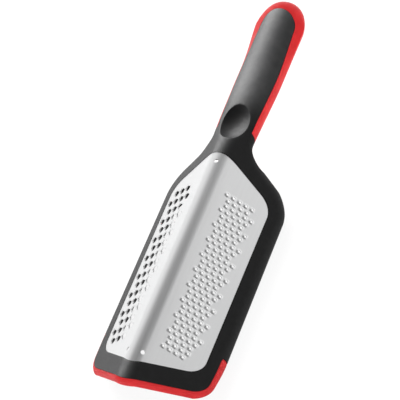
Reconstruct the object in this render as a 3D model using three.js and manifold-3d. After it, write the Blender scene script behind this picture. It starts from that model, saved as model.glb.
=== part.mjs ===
// Hand-held two-sided grater: one bent, pierced steel sheet in a black moulded frame whose neck
// runs on into a long handle, with a red lower shell on the handle and a red soft strip on the foot.
// Millimetres. X across, +Y towards the handle, +Z up. The frame's two rails stand on z = 0.
import * as THREE from 'three';
import { ParametricGeometry } from 'three/addons/geometries/ParametricGeometry.js';
import { mergeVertices } from 'three/addons/utils/BufferGeometryUtils.js';
import Module from 'manifold-3d';

const wasm = await Module();
wasm.setup();

// Driving dimensions: the roof
const ROOF_SLOPE = THREE.MathUtils.degToRad(45); // each side of the roof falls this much
const RAIL_HALF_WIDTH = 40.7; // start of a rail's outer rounding at the shoulder, from the middle
const RAIL_EDGE_RADIUS = 9.8; // rounding of a rail's outer edge
const EDGE_LOWER_SHARE = 0.72; // an outer edge is this much shallower below its widest line
const RAIL_TAPER = 1.1; // a rail stands this much further out at the foot
const SHEET_RIDGE_RADIUS = 10; // bend of the roof along the ridge, at the sheet

// Driving dimensions: the plan outline, from the foot to the tip of the handle
const FOOT_Y = -151.9; // colour break at the foot, on the ridge
const FOOT_CHEVRON = 0.47; // rise of the foot edge towards the rails, per millimetre across
const FOOT_TIP_RADIUS = 13;
const FOOT_CORNER_RADIUS = 13;
const FOOT_EDGE_RADIUS = 5; // rounding of the foot's outer edge
const FOOT_BAR_DEPTH = 11; // thickness of the foot under the ridge
const SHOULDER_Y = 13.8; // corner where a rail turns in to the neck
const SHOULDER_RADIUS = 17;
const NECK_Y = 31.5; // corner where the shoulder turns into the neck
const NECK_HALF_WIDTH = 12;
const NECK_RADIUS = 21;
const SWELL_Y = 95; // where the top of the handle is widest
const SWELL_HALF_WIDTH = 14.1;
const SWELL_RADIUS = 300;
const HANDLE_END_Y = 144.4; // end of the black top
const HANDLE_END_HALF_WIDTH = 11.9;
const HANDLE_END_RADIUS = 11.6;

// Driving dimensions: the handle
const NECK_BLEND = 9; // the rail's edge becomes the grip's edge over this length each side of the neck
const CROWN_RADIUS = 18.8; // round top of the handle
const CROWN_TIP_RADIUS = 15.5; // and at the tip
const CROWN_DROP = 6.3; // crest of the handle, below the ridge line
const CROWN_BLEND = 34; // the roof becomes the round top over this length past the steel
const HANDLE_LIFT = 2.3; // the top of the handle rises this much towards the tip
const GRIP_DROP = 17.9; // the grip's widest line lies this far below the ridge, where it is lowest
const GRIP_RISE_NECK = 1.4; // that line lies higher by this much at the neck
const GRIP_RISE_TIP = 4.6; // and by this much at the tip
const GRIP_BELLY = 4.8; // the grip's underside lies this far below its widest line
const GRIP_CREASE = 1.08; // the grip leaves the black top at this share of its slope
const GRIP_CREASE_TIP = 0.5; // and at the tip
const GRIP_OVERHANG = 2.45; // red beyond the black top, along the middle of the handle
const GRIP_OVERHANG_REAR = 5.9; // and beside the end of the black top
const GRIP_OVERHANG_TIP = 10.4; // and past its end
const GRIP_SETBACK = 13.5; // the red grip starts this far past the neck, at its widest line
const GRIP_START_LEAN = 0.5; // its underside starts nearer to the foot by this slope
const GRIP_FLOOR = 2.3; // floor of the red lower shell
const CORE_WALL = 2.6; // side wall of the black top shell
const CORE_TOP_WALL = 3;
const CAVITY_SETBACK = 17.5; // the shell's full hollow begins this far past the middle of the recess
const NECK_CAVITY_SETBACK = 2; // a shallower hollow under the recess begins this far past the red
const NECK_CAVITY_HEIGHT = 6.6; // its roof lies this far above the grip's underside
const RECESS_SETBACK = 23.6; // middle of the thumb recess, from the top of the steel
const RECESS_RADII = new THREE.Vector3(13.7, 16, 13.5);
const RECESS_RISE = 0.6; // middle of the recess's bowl, above the ridge

// Driving dimensions: the sheet, its seat and the soft strip
const RAIL_LAND = 4.4; // black between the steel and the rail's outer rounding
const FOOT_LAND = 13.1; // black between the steel and the foot's colour break, on the ridge
const SHEET_FOOT_CHEVRON = 0.48;
const SHEET_TOP_Y = 28;
const SHEET_TOP_CHEVRON = 0.53;
const SHEET_FOOT_TIP_RADIUS = 10;
const SHEET_FOOT_CORNER_RADIUS = 14;
const SHEET_TOP_CORNER_RADIUS = 14;
const SHEET_TOP_TIP_RADIUS = 27;
const SHEET_THICKNESS = 0.6;
const LIP_THICKNESS = 0.5; // plastic over the edge of the sheet
const SEAT_DEPTH = 3.2; // how far the groove reaches in past the lip
const LEDGE = 2; // plastic that carries the sheet beyond the lip
const STRIP_THICKNESS = 2;
const STRIP_REACH = 47.9; // the foot strip's ends lie this far up the rails from the colour break
const CLEARANCE = 0.3; // gap between neighbouring pieces

// Driving dimensions: teeth and locating holes. Across is measured down the slope from the ridge line,
// a field's margin from its outermost unstaggered column to the rail, its drop from the top of the steel
// to its first row.
const COARSE = { rows: 17, drop: 27.4, pitchY: 7.28, margin: 6.34, pitchAcross: 8, wide: 4,
  hood: 3.1, rise: 1.2, bore: 2.2, sides: 6 };
const FINE = { rows: 31, drop: 28.6, pitchY: 3.92, margin: 11.94, pitchAcross: 5.15, wide: 5,
  hood: 1.6, rise: 1, bore: 0.9, sides: 4 };
const TOOTH_SETBACK = 0.4; // a hood stands this share of its radius behind its bore
const LOCATING_BORE = 1.5;
const LOCATING_FOOT_ACROSS = 7.5; // the two lower locating holes, from the ridge line
const LOCATING_FOOT_RISE = 9.3; // and from the lower end of the steel
const LOCATING_TOP_DROP = 10; // the upper one, from the top of the steel

// Resolution of the curved surfaces
const ARC_STEP = THREE.MathUtils.degToRad(15);
const LINE_STEP = 22;
const RIDGE_STEPS = 4;
const RIDGE_SHARE = 0.8; // most of a row that these steps take up
const CROWN_REACH = 0.85; // the round top is followed to this share of its radius
const EDGE_STEPS = 4;
const SPINE_INSET = 5; // the middle line of a body stops this far inside its outline

// Sizes that follow
const EDGE_SHARE = Math.cos(ROOF_SLOPE) + EDGE_LOWER_SHARE;
const RIDGE_Z = RAIL_HALF_WIDTH * Math.tan(ROOF_SLOPE) + RAIL_EDGE_RADIUS * EDGE_SHARE;
const FOOT_HALF_WIDTH = RAIL_HALF_WIDTH + RAIL_TAPER;
const FOOT_FALL = Math.tan(ROOF_SLOPE) * FOOT_CHEVRON / Math.hypot(1, FOOT_CHEVRON); // across the foot's edge
const SHEET_HALF_WIDTH = RAIL_HALF_WIDTH - RAIL_LAND;
const SHEET_FOOT_Y = FOOT_Y + FOOT_LAND;
const STRIP_END_Y = FOOT_Y + STRIP_REACH;
const GRIP_SIDE_Z = RIDGE_Z - GRIP_DROP;
const GRIP_BOTTOM_Z = GRIP_SIDE_Z - GRIP_BELLY;
const GRIP_START_Y = NECK_Y + GRIP_SETBACK;
const RECESS_Y = SHEET_TOP_Y + RECESS_SETBACK;
const CAVITY_START_Y = RECESS_Y + CAVITY_SETBACK;
const NECK_CAVITY_START_Y = GRIP_START_Y + NECK_CAVITY_SETBACK;
const FAR = 400;
const SHEET_DEPTH = LIP_THICKNESS + CLEARANCE;
const SEAT_BOTTOM_DEPTH = SHEET_DEPTH + SHEET_THICKNESS + CLEARANCE;

// The roof: two slopes joined by a round ridge, at a depth below the frame's top face. Past the steel it
// becomes the round top of the handle.
function roofBend(depth) {
  return Math.max(SHEET_RIDGE_RADIUS - depth, 0.5);
}

function crownShare(y) {
  return THREE.MathUtils.smoothstep(y, SHEET_TOP_Y, SHEET_TOP_Y + CROWN_BLEND);
}

function crownRadius(y) {
  const rear = THREE.MathUtils.smoothstep(y, SWELL_Y, HANDLE_END_Y);
  return THREE.MathUtils.lerp(CROWN_RADIUS, CROWN_TIP_RADIUS, rear);
}

function roofHeight(x, y, depth = 0) {
  const radius = roofBend(depth);
  const across = Math.abs(x);
  const peak = RIDGE_Z - depth / Math.cos(ROOF_SLOPE);
  const gable = across > radius * Math.sin(ROOF_SLOPE)
    ? peak - across * Math.tan(ROOF_SLOPE)
    : peak - radius / Math.cos(ROOF_SLOPE) + Math.sqrt(radius ** 2 - across ** 2);
  const lift = HANDLE_LIFT * THREE.MathUtils.smoothstep(y, SWELL_Y, HANDLE_END_Y);
  const crown = crownRadius(y);
  const reach = Math.min(across, (crown - depth) * CROWN_REACH);
  const arch = RIDGE_Z - CROWN_DROP + lift - crown + Math.sqrt((crown - depth) ** 2 - reach ** 2);
  return THREE.MathUtils.lerp(gable, arch, crownShare(y));
}

function roofFall(x, y) {
  const across = Math.abs(x);
  const slopeOf = (reach, radius) => reach / Math.sqrt(radius ** 2 - reach ** 2);
  const gable = slopeOf(Math.min(across, SHEET_RIDGE_RADIUS * Math.sin(ROOF_SLOPE)), SHEET_RIDGE_RADIUS);
  const crown = crownRadius(y);
  const arch = slopeOf(Math.min(across, crown * CROWN_REACH), crown);
  return THREE.MathUtils.lerp(gable, arch, crownShare(y));
}

// Right half of a plan outline: corners [x, y, radius] from the axis at the foot to the axis at the top,
// joined by lines and arcs, and sampled as stations with their outward normals
function halfOutline(corners, breaks = []) {
  const points = corners.map(([x, y]) => new THREE.Vector2(x, y));
  const path = new THREE.Path();
  corners.forEach(([x, y, radius], index) => {
    const onAxis = x === 0;
    const mirror = (point) => new THREE.Vector2(-point.x, point.y);
    const before = points[index - 1] ?? mirror(points[index + 1]);
    const after = points[index + 1] ?? mirror(points[index - 1]);
    const corner = points[index];
    const incoming = corner.clone().sub(before).normalize();
    const outgoing = after.clone().sub(corner).normalize();
    const turn = incoming.angleTo(outgoing) * Math.sign(incoming.cross(outgoing));
    const side = new THREE.Vector2(-incoming.y, incoming.x).multiplyScalar(Math.sign(turn));
    const start = corner.clone().addScaledVector(incoming, -radius * Math.tan(Math.abs(turn) / 2));
    const centre = start.clone().addScaledVector(side, radius);
    const from = Math.atan2(start.y - centre.y, start.x - centre.x);
    const first = onAxis && index === 0 ? from + turn / 2 : from;
    const last = onAxis && index > 0 ? from + turn / 2 : from + turn;
    if (index > 0) path.lineTo(start.x, start.y);
    path.absarc(centre.x, centre.y, radius, first, last, turn < 0);
  });
  return sampleStations(path, breaks);
}

function sampleStations(path, breaks) {
  const stations = [];
  for (const curve of path.curves) {
    const sweep = curve.isEllipseCurve ? Math.abs(curve.aEndAngle - curve.aStartAngle) : 0;
    if (curve.getLength() < 0.01) continue;
    const steps = Math.ceil(Math.max(sweep / ARC_STEP, sweep ? 1 : curve.getLength() / LINE_STEP));
    for (let step = stations.length ? 1 : 0; step <= steps; step += 1) {
      stations.push(stationAt(curve.getPoint(step / steps), curve.getTangent(step / steps)));
    }
  }
  for (const y of breaks) {
    const index = stations.findIndex((station) => station.y > y);
    const [low, high] = [stations[index - 1], stations[index]];
    const share = (y - low.y) / (high.y - low.y);
    const normal = new THREE.Vector2(low.nx, low.ny).lerp(new THREE.Vector2(high.nx, high.ny), share);
    normal.normalize();
    const x = THREE.MathUtils.lerp(low.x, high.x, share);
    stations.splice(index, 0, { x, y, nx: normal.x, ny: normal.y });
  }
  snapToAxis(stations[0], -1);
  snapToAxis(stations[stations.length - 1], 1);
  return stations;
}

function stationAt(point, tangent) {
  return { x: point.x, y: point.y, nx: tangent.y, ny: -tangent.x };
}

function snapToAxis(station, ny) {
  Object.assign(station, { x: 0, nx: 0, ny });
}

function offsetStations(stations, distance) {
  return stations.map((station) => ({
    ...station,
    x: station.x + station.nx * distance,
    y: station.y + station.ny * distance,
  }));
}

// Closed surface through a grid of points: rows follow one another, and each row is one section
function gridSurface(rows) {
  const last = rows.length - 1;
  const across = rows[0].length - 1;
  return new ParametricGeometry((u, v, target) => {
    target.copy(rows[Math.round(u * last)][Math.round(v * across)]);
  }, last, across);
}

// Solid from a closed geometry, with shared corners merged, flat slivers dropped and its faces outwards
function toSolid(geometry) {
  const bare = geometry.clone();
  for (const name of Object.keys(bare.attributes)) {
    if (name !== 'position') bare.deleteAttribute(name);
  }
  const merged = mergeVertices(bare, 1e-4);
  const position = merged.attributes.position;
  const index = merged.index.array;
  const corners = [];
  let volume = 0;
  const [a, b, c] = [new THREE.Vector3(), new THREE.Vector3(), new THREE.Vector3()];
  for (let i = 0; i < index.length; i += 3) {
    const [p, q, r] = [index[i], index[i + 1], index[i + 2]];
    if (p === q || q === r || r === p) continue;
    corners.push(p, q, r);
    a.fromBufferAttribute(position, p);
    b.fromBufferAttribute(position, q);
    c.fromBufferAttribute(position, r);
    volume += a.dot(b.cross(c));
  }
  if (volume < 0) corners.reverse();
  const vertProperties = Float32Array.from(position.array);
  return new wasm.Manifold(new wasm.Mesh({ numProp: 3, vertProperties, triVerts: Uint32Array.from(corners) }));
}

function toMesh(name, solid, material) {
  const { vertProperties, triVerts } = solid.getMesh();
  const geometry = new THREE.BufferGeometry();
  geometry.setAttribute('position', new THREE.BufferAttribute(vertProperties, 3));
  geometry.setIndex(new THREE.BufferAttribute(triVerts, 1));
  geometry.computeVertexNormals();
  const mesh = new THREE.Mesh(geometry, material);
  mesh.name = name;
  return mesh;
}

// Body of a plan outline: one section per station, from the top of the spine round to its bottom
function outlineBody(stations, section) {
  const first = stations[0].y + SPINE_INSET;
  const last = stations[stations.length - 1].y - SPINE_INSET;
  const span = stations[stations.length - 1].y - stations[0].y;
  const right = stations.map((station) => {
    const spineY = first + (last - first) * (station.y - stations[0].y) / span;
    return section(station, spineY);
  });
  const mirrored = right.map((row) => row.map((point) => new THREE.Vector3(-point.x, point.y, point.z)));
  return toSolid(gridSurface([...right, ...mirrored.slice(0, -1).reverse()]));
}

// Points across the roof from the spine to a station, close together over the ridge
function roofRow(station, spineY, depth) {
  const bend = roofBend(depth) * Math.sin(ROOF_SLOPE);
  const onRidge = Math.min(bend / Math.max(station.x, 1e-6), RIDGE_SHARE);
  const shoulder = THREE.MathUtils.lerp(onRidge, RIDGE_SHARE, crownShare(spineY));
  const shares = [...Array(RIDGE_STEPS + 1).keys()].map((step) => shoulder * step / RIDGE_STEPS);
  return [...shares, 1].map((share) => {
    const x = station.x * share;
    const y = THREE.MathUtils.lerp(spineY, station.y, share);
    return new THREE.Vector3(x, y, roofHeight(x, y, depth));
  });
}

// Plate between two depths of the roof, with upright sides
function roofPlate(stations, topDepth, bottomDepth) {
  return outlineBody(stations, (station, spineY) => [
    ...roofRow(station, spineY, topDepth),
    ...roofRow(station, spineY, bottomDepth).reverse(),
  ]);
}

// Block from a depth of the roof down to a level, with upright sides
function roofBlock(stations, topDepth, level) {
  return outlineBody(stations, (station, spineY) => [
    ...roofRow(station, spineY, topDepth),
    new THREE.Vector3(station.x, station.y, level),
    new THREE.Vector3(0, spineY, level),
  ]);
}

function slab(size, centre, turnX = 0) {
  const geometry = new THREE.BoxGeometry(size.x, size.y, size.z);
  geometry.rotateX(turnX);
  geometry.translate(centre.x, centre.y, centre.z);
  return toSolid(geometry);
}

// Everything on the handle's side of the leaning plane where the red grip starts, less a margin
function gripSide(margin) {
  const lean = Math.atan(GRIP_START_LEAN);
  const box = new THREE.BoxGeometry(FAR, FAR, FAR);
  box.translate(0, FAR / 2 + margin, 0);
  box.rotateX(-lean);
  box.translate(0, GRIP_START_Y, GRIP_SIDE_Z);
  return toSolid(box);
}

function beyond(y) {
  return slab(new THREE.Vector3(FAR, FAR, FAR), new THREE.Vector3(0, y + FAR / 2, 0));
}

// Outer edge at a station: an upper quarter round from the colour break to the widest line,
// a lower one down to the base, both in the upright plane across the outline
function edgeShape(station) {
  const top = roofHeight(station.x, station.y);
  const fall = roofFall(station.x, station.y) * Math.abs(station.nx);
  const neck = THREE.MathUtils.smoothstep(station.y, NECK_Y - NECK_BLEND, NECK_Y + NECK_BLEND);
  const corner = THREE.MathUtils.smoothstep(station.y, SHEET_FOOT_Y, STRIP_END_Y);
  const radius = THREE.MathUtils.lerp(FOOT_EDGE_RADIUS, RAIL_EDGE_RADIUS, corner);
  const angle = Math.atan(Math.max(fall, FOOT_FALL));
  const rear = THREE.MathUtils.smoothstep(station.y, SWELL_Y, HANDLE_END_Y);
  const beside = THREE.MathUtils.lerp(GRIP_OVERHANG, GRIP_OVERHANG_REAR, rear);
  const past = station.ny > 0 ? station.ny ** 3 : 0;
  const gripOut = THREE.MathUtils.lerp(beside, GRIP_OVERHANG_TIP, past * neck);
  const front = 1 - THREE.MathUtils.smoothstep(station.y, NECK_Y + NECK_BLEND, SWELL_Y);
  const gripSideZ = GRIP_SIDE_Z + GRIP_RISE_NECK * front + GRIP_RISE_TIP * rear;
  const out = THREE.MathUtils.lerp(radius * (1 - Math.sin(angle)), gripOut, neck);
  const sideZ = THREE.MathUtils.lerp(top - radius * Math.cos(angle), gripSideZ, neck);
  const railBaseZ = Math.max(top - radius * (Math.cos(angle) + EDGE_LOWER_SHARE), 0);
  const baseZ = THREE.MathUtils.lerp(railBaseZ, GRIP_BOTTOM_Z, neck);
  const crease = THREE.MathUtils.lerp(GRIP_CREASE, GRIP_CREASE_TIP, rear);
  return { top, out, sideZ, baseZ, slope: fall * THREE.MathUtils.lerp(1, crease, neck) };
}

// Edge as [out, z] points from the colour break round to the base
function edgeCurve(station) {
  const { top, out, sideZ, baseZ, slope } = edgeShape(station);
  const start = new THREE.Vector2(0, top);
  const knee = new THREE.Vector2(out, top - out * slope);
  const side = new THREE.Vector2(out, sideZ);
  const heel = new THREE.Vector2(out, baseZ);
  const base = new THREE.Vector2(out - (sideZ - baseZ), baseZ);
  const round = (from, turn, to, step) => {
    const sweep = (step / EDGE_STEPS) * Math.PI / 2;
    return turn.clone()
      .addScaledVector(from.clone().sub(turn), 1 - Math.sin(sweep))
      .addScaledVector(to.clone().sub(turn), 1 - Math.cos(sweep));
  };
  const steps = [...Array(EDGE_STEPS + 1).keys()];
  return [
    ...steps.map((step) => round(start, knee, side, step)),
    ...steps.slice(1).map((step) => round(side, heel, base, step)),
  ];
}

function onStation(station, { x: out, y: z }) {
  return new THREE.Vector3(station.x + station.nx * out, station.y + station.ny * out, z);
}

// Whole outer form of the tool, from the roof round its edges to the underside
function outerForm(stations) {
  return outlineBody(stations, (station, spineY) => {
    const edge = edgeCurve(station);
    const heel = edge[edge.length - 1];
    const inner = new THREE.Vector2(heel.x - LEDGE - SEAT_DEPTH, heel.y);
    const neck = THREE.MathUtils.smoothstep(spineY, SHEET_FOOT_Y, NECK_Y);
    const deep = roofHeight(0, spineY) - GRIP_BOTTOM_Z;
    const spineZ = roofHeight(0, spineY) - THREE.MathUtils.lerp(FOOT_BAR_DEPTH, deep, neck);
    return [
      ...roofRow(station, spineY, 0),
      ...edge.slice(1).map((point) => onStation(station, point)),
      onStation(station, inner),
      new THREE.Vector3(0, spineY, spineZ),
    ];
  });
}

// Skin of the outer edge along part of the outline, between two depths below its surface
function edgeBand(stations, outerDepth, innerDepth, overlap) {
  const sections = stations.map((station) => {
    const edge = edgeCurve(station);
    const along = edge.map((point, index) => {
      const next = edge[Math.min(index + 1, edge.length - 1)];
      const last = edge[Math.max(index - 1, 0)];
      return next.clone().sub(last).normalize();
    });
    along[along.length - 1].set(-1, 0);
    const sunk = (depth) => edge.map((point, index) => {
      const inward = new THREE.Vector2(along[index].y, -along[index].x);
      const end = index === 0 ? -overlap : index === edge.length - 1 ? overlap : 0;
      return point.clone().addScaledVector(inward, depth).addScaledVector(along[index], end);
    });
    const ring = [...sunk(outerDepth), ...sunk(innerDepth).reverse()];
    return [...ring, ring[0]].map((point) => onStation(station, point));
  });
  return toSolid(gridSurface([closeRow(sections[0]), ...sections, closeRow(sections[sections.length - 1])]));
}

// A band's section drawn together onto the line midway between its two skins, which closes its end
function closeRow(section) {
  const last = section.length - 2;
  return section.map((point, index) => {
    const facing = section[index > last ? last : last - index];
    return point.clone().lerp(facing, 0.5);
  });
}

// Stations along the foot from the right-hand end of the strip, over the ridge, to the left-hand end
function footRun(stations, endY) {
  const right = stations.filter((station) => station.y <= endY + 1e-6);
  const left = right.slice(1).map((station) => ({ ...station, x: -station.x, nx: -station.nx }));
  return [...right.reverse(), ...left];
}

const TOOL_OUTLINE = halfOutline([
  [0, FOOT_Y, FOOT_TIP_RADIUS],
  [FOOT_HALF_WIDTH, FOOT_Y + FOOT_HALF_WIDTH * FOOT_CHEVRON, FOOT_CORNER_RADIUS],
  [RAIL_HALF_WIDTH, SHOULDER_Y, SHOULDER_RADIUS],
  [NECK_HALF_WIDTH, NECK_Y, NECK_RADIUS],
  [SWELL_HALF_WIDTH, SWELL_Y, SWELL_RADIUS],
  [HANDLE_END_HALF_WIDTH, HANDLE_END_Y, HANDLE_END_RADIUS],
  [0, HANDLE_END_Y, 0],
], [STRIP_END_Y, STRIP_END_Y + CLEARANCE]);

const SHEET_OUTLINE = halfOutline([
  [0, SHEET_FOOT_Y, SHEET_FOOT_TIP_RADIUS],
  [SHEET_HALF_WIDTH, SHEET_FOOT_Y + SHEET_HALF_WIDTH * SHEET_FOOT_CHEVRON, SHEET_FOOT_CORNER_RADIUS],
  [SHEET_HALF_WIDTH, SHEET_TOP_Y - SHEET_HALF_WIDTH * SHEET_TOP_CHEVRON, SHEET_TOP_CORNER_RADIUS],
  [0, SHEET_TOP_Y, SHEET_TOP_TIP_RADIUS],
]);

// Black frame, neck and top shell of the handle, in one moulding
function buildFrame() {
  const body = outerForm(TOOL_OUTLINE);
  const neckAndRails = body.subtract(gripSide(-CLEARANCE));
  const core = roofBlock(TOOL_OUTLINE, 0, GRIP_BOTTOM_Z + GRIP_FLOOR + CLEARANCE)
    .intersect(gripSide(-CORE_WALL));
  const shell = offsetStations(TOOL_OUTLINE, -CORE_WALL);
  const hollow = roofBlock(shell, CORE_TOP_WALL, 0).intersect(beyond(CAVITY_START_Y));
  const neckBox = new THREE.Vector3(2 * (NECK_HALF_WIDTH - 2 * CORE_WALL),
    CAVITY_START_Y - NECK_CAVITY_START_Y + CORE_WALL, GRIP_BOTTOM_Z + NECK_CAVITY_HEIGHT);
  const neckHollow = slab(neckBox, new THREE.Vector3(0, NECK_CAVITY_START_Y + neckBox.y / 2, neckBox.z / 2));
  const thumb = new THREE.SphereGeometry(1, 28, 18);
  thumb.rotateX(Math.PI / 2);
  thumb.scale(...RECESS_RADII);
  thumb.translate(0, RECESS_Y, RIDGE_Z + RECESS_RISE);
  const window = roofPlate(SHEET_OUTLINE, -RAIL_EDGE_RADIUS, SHEET_DEPTH + SHEET_THICKNESS);
  const well = roofBlock(offsetStations(SHEET_OUTLINE, -LEDGE), SHEET_DEPTH, -RAIL_EDGE_RADIUS);
  const groove = roofPlate(offsetStations(SHEET_OUTLINE, SEAT_DEPTH), LIP_THICKNESS, SEAT_BOTTOM_DEPTH);
  const rebate = edgeBand(footRun(TOOL_OUTLINE, STRIP_END_Y + CLEARANCE),
    -STRIP_THICKNESS, STRIP_THICKNESS + CLEARANCE, CLEARANCE);
  return neckAndRails.add(core).subtract(hollow).subtract(neckHollow).subtract(toSolid(thumb))
    .subtract(window).subtract(well).subtract(groove).subtract(rebate);
}

// Red lower shell of the handle: a tray that the black top sits in
function buildHandleLowerShell() {
  const pocket = roofBlock(offsetStations(TOOL_OUTLINE, CLEARANCE), -FAR / 4, GRIP_BOTTOM_Z + GRIP_FLOOR);
  return outerForm(TOOL_OUTLINE).intersect(gripSide(0)).subtract(pocket);
}

function buildFootStrip() {
  return edgeBand(footRun(TOOL_OUTLINE, STRIP_END_Y), 0, STRIP_THICKNESS, 0);
}

// Places of a tooth field: alternate rows are staggered and lose or keep a tooth
function toothPlaces(field, staggered, count) {
  const places = [];
  const outermost = SHEET_HALF_WIDTH / Math.cos(ROOF_SLOPE) - field.margin;
  const innermost = outermost - (field.wide - 1) * field.pitchAcross;
  for (let row = 0; row < field.rows; row += 1) {
    const y = SHEET_TOP_Y - field.drop - row * field.pitchY;
    const shift = staggered(row) ? 0.5 : 0;
    for (let index = 0; index < count(row); index += 1) {
      places.push({ y, across: innermost + (index + shift) * field.pitchAcross });
    }
  }
  return places;
}

// A tooth stands square to its slope: side is -1 for the coarse slope and 1 for the fine one
function onSlope(geometry, side, across, y) {
  geometry.rotateY(side * ROOF_SLOPE);
  const x = side * across * Math.cos(ROOF_SLOPE);
  geometry.translate(x, y, roofHeight(x, y, SHEET_DEPTH + SHEET_THICKNESS / 2));
  return toSolid(geometry);
}

function toothHood(field, side, { across, y }) {
  const hood = new THREE.ConeGeometry(1, 1, field.sides);
  hood.translate(0, 0.5, 0);
  hood.rotateX(Math.PI / 2);
  hood.scale(field.hood, field.hood, field.rise + SHEET_THICKNESS / 2);
  return onSlope(hood, side, across, y - field.hood * TOOTH_SETBACK);
}

function toothBore(radius, sides, side, { across, y }) {
  const bore = new THREE.CylinderGeometry(radius, radius, 8 * SHEET_THICKNESS, sides);
  bore.rotateX(Math.PI / 2);
  return onSlope(bore, side, across, y);
}

// Bent steel sheet with a field of coarse teeth, a field of fine teeth and three locating holes
function buildGraterSheet() {
  const blank = roofPlate(offsetStations(SHEET_OUTLINE, SEAT_DEPTH - CLEARANCE),
    SHEET_DEPTH, SHEET_DEPTH + SHEET_THICKNESS);
  const coarse = toothPlaces(COARSE, (row) => row % 2 === 0,
    (row) => (row % 2 === 0 ? COARSE.wide - 1 : COARSE.wide));
  const shortFine = (row) => row % 3 === 1 || row > FINE.rows - 3;
  const fine = toothPlaces(FINE, (row) => row % 3 > 0, (row) => (shortFine(row) ? FINE.wide - 1 : FINE.wide));
  const hoods = [
    ...coarse.map((place) => toothHood(COARSE, -1, place)),
    ...fine.map((place) => toothHood(FINE, 1, place)),
  ];
  const locating = { across: LOCATING_FOOT_ACROSS, y: SHEET_FOOT_Y + LOCATING_FOOT_RISE };
  const bores = [
    ...coarse.map((place) => toothBore(COARSE.bore, COARSE.sides, -1, place)),
    ...fine.map((place) => toothBore(FINE.bore, FINE.sides, 1, place)),
    toothBore(LOCATING_BORE, COARSE.sides, -1, locating),
    toothBore(LOCATING_BORE, COARSE.sides, 1, locating),
  ];
  const topHole = new THREE.CylinderGeometry(LOCATING_BORE, LOCATING_BORE, 8 * SHEET_THICKNESS, COARSE.sides);
  topHole.rotateX(Math.PI / 2);
  const topHoleY = SHEET_TOP_Y - LOCATING_TOP_DROP;
  topHole.translate(0, topHoleY, roofHeight(0, topHoleY, SHEET_DEPTH));
  const raised = wasm.Manifold.union([blank, ...hoods]);
  return raised.subtract(wasm.Manifold.union([...bores, toSolid(topHole)]));
}

const black = new THREE.MeshStandardMaterial({ color: 0x242424, roughness: 0.6, metalness: 0 });
const red = new THREE.MeshStandardMaterial({ color: 0xdc2a2d, roughness: 0.5, metalness: 0 });
const softRed = new THREE.MeshStandardMaterial({ color: 0xdc2a2d, roughness: 0.65, metalness: 0 });
const steel = new THREE.MeshStandardMaterial({ color: 0xd8dadc, roughness: 0.3, metalness: 1 });

const group = new THREE.Group();
group.name = 'grater';
group.add(toMesh('frame', buildFrame(), black));
group.add(toMesh('grater_sheet', buildGraterSheet(), steel));
group.add(toMesh('handle_lower_shell', buildHandleLowerShell(), red));
group.add(toMesh('foot_strip', buildFootStrip(), softRed));
const extent = new THREE.Box3().setFromObject(group).getCenter(new THREE.Vector3());
group.position.y = -extent.y;

export default group;
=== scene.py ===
"""Hand grater on a plain pale floor.

A bent, pierced steel sheet sits in a black moulded frame whose neck runs on into a long handle. A red lower
shell wraps the handle from below, and a red soft strip wraps the foot. Sizes are in millimetres, with +Y
towards the handle and the frame's two rails on z = 0. Each piece is turned into metres when it is finished.
"""

from __future__ import annotations

import logging
import math
from bisect import bisect_left
from collections.abc import Callable, Sequence
from dataclasses import dataclass, field
from enum import Enum

import bmesh
import bpy
from mathutils import Matrix, Vector

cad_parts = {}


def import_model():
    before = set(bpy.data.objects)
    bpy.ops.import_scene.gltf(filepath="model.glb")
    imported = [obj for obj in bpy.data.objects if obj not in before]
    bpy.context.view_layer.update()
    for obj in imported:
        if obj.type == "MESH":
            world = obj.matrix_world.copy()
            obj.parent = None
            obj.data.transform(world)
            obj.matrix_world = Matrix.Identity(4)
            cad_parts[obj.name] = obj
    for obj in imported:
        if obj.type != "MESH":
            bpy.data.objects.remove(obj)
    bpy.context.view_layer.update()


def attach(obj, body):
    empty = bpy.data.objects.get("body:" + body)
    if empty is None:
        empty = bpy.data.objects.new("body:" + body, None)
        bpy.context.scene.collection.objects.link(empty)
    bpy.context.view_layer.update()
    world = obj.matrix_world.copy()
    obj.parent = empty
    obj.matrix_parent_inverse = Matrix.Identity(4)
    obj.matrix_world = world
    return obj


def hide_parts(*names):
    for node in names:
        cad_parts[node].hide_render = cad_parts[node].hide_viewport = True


LOG = logging.getLogger("grater")

METRES = 0.001
PART_SHIFT_Y = -0.6107
BODY = "root"
MERGE = 0.004
ROUNDING = 1e-6
HALVINGS = 40
NOISE_SPAN = (0.3, 0.7)
WHITE = (1.0, 1.0, 1.0, 1.0)
SEEN_RAYS = ("Is Camera Ray", "Is Transmission Ray")
MIRROR_RAYS = ("Is Glossy Ray",)
Row = list[Vector]
Colour = tuple[float, float, float]
Socket = bpy.types.NodeSocket


class Node(Enum):
    """Solids of the part that the finished pieces stand for."""

    FRAME = "frame"
    SHEET = "grater_sheet"
    SHELL = "handle_lower_shell"
    STRIP = "foot_strip"


class Slot(Enum):
    """Material slots of the record."""

    BLACK = "black_plastic"
    STEEL = "steel"
    RED = "red_plastic"
    SOFT = "red_soft"


class Slope(Enum):
    """The two slopes of the roof, by the sign of x."""

    COARSE = -1
    FINE = 1


def lerp(low: float, high: float, share: float) -> float:
    """Value between low and high."""
    return low + (high - low) * share


def smooth(value: float, low: float, high: float) -> float:
    """Soft step from 0 at low to 1 at high."""
    share = min(max((value - low) / (high - low), 0.0), 1.0)
    return share * share * (3.0 - 2.0 * share)


def shares(count: int) -> list[float]:
    """Even shares from 0 to 1 in that many steps."""
    return [index / count for index in range(count + 1)]


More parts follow.
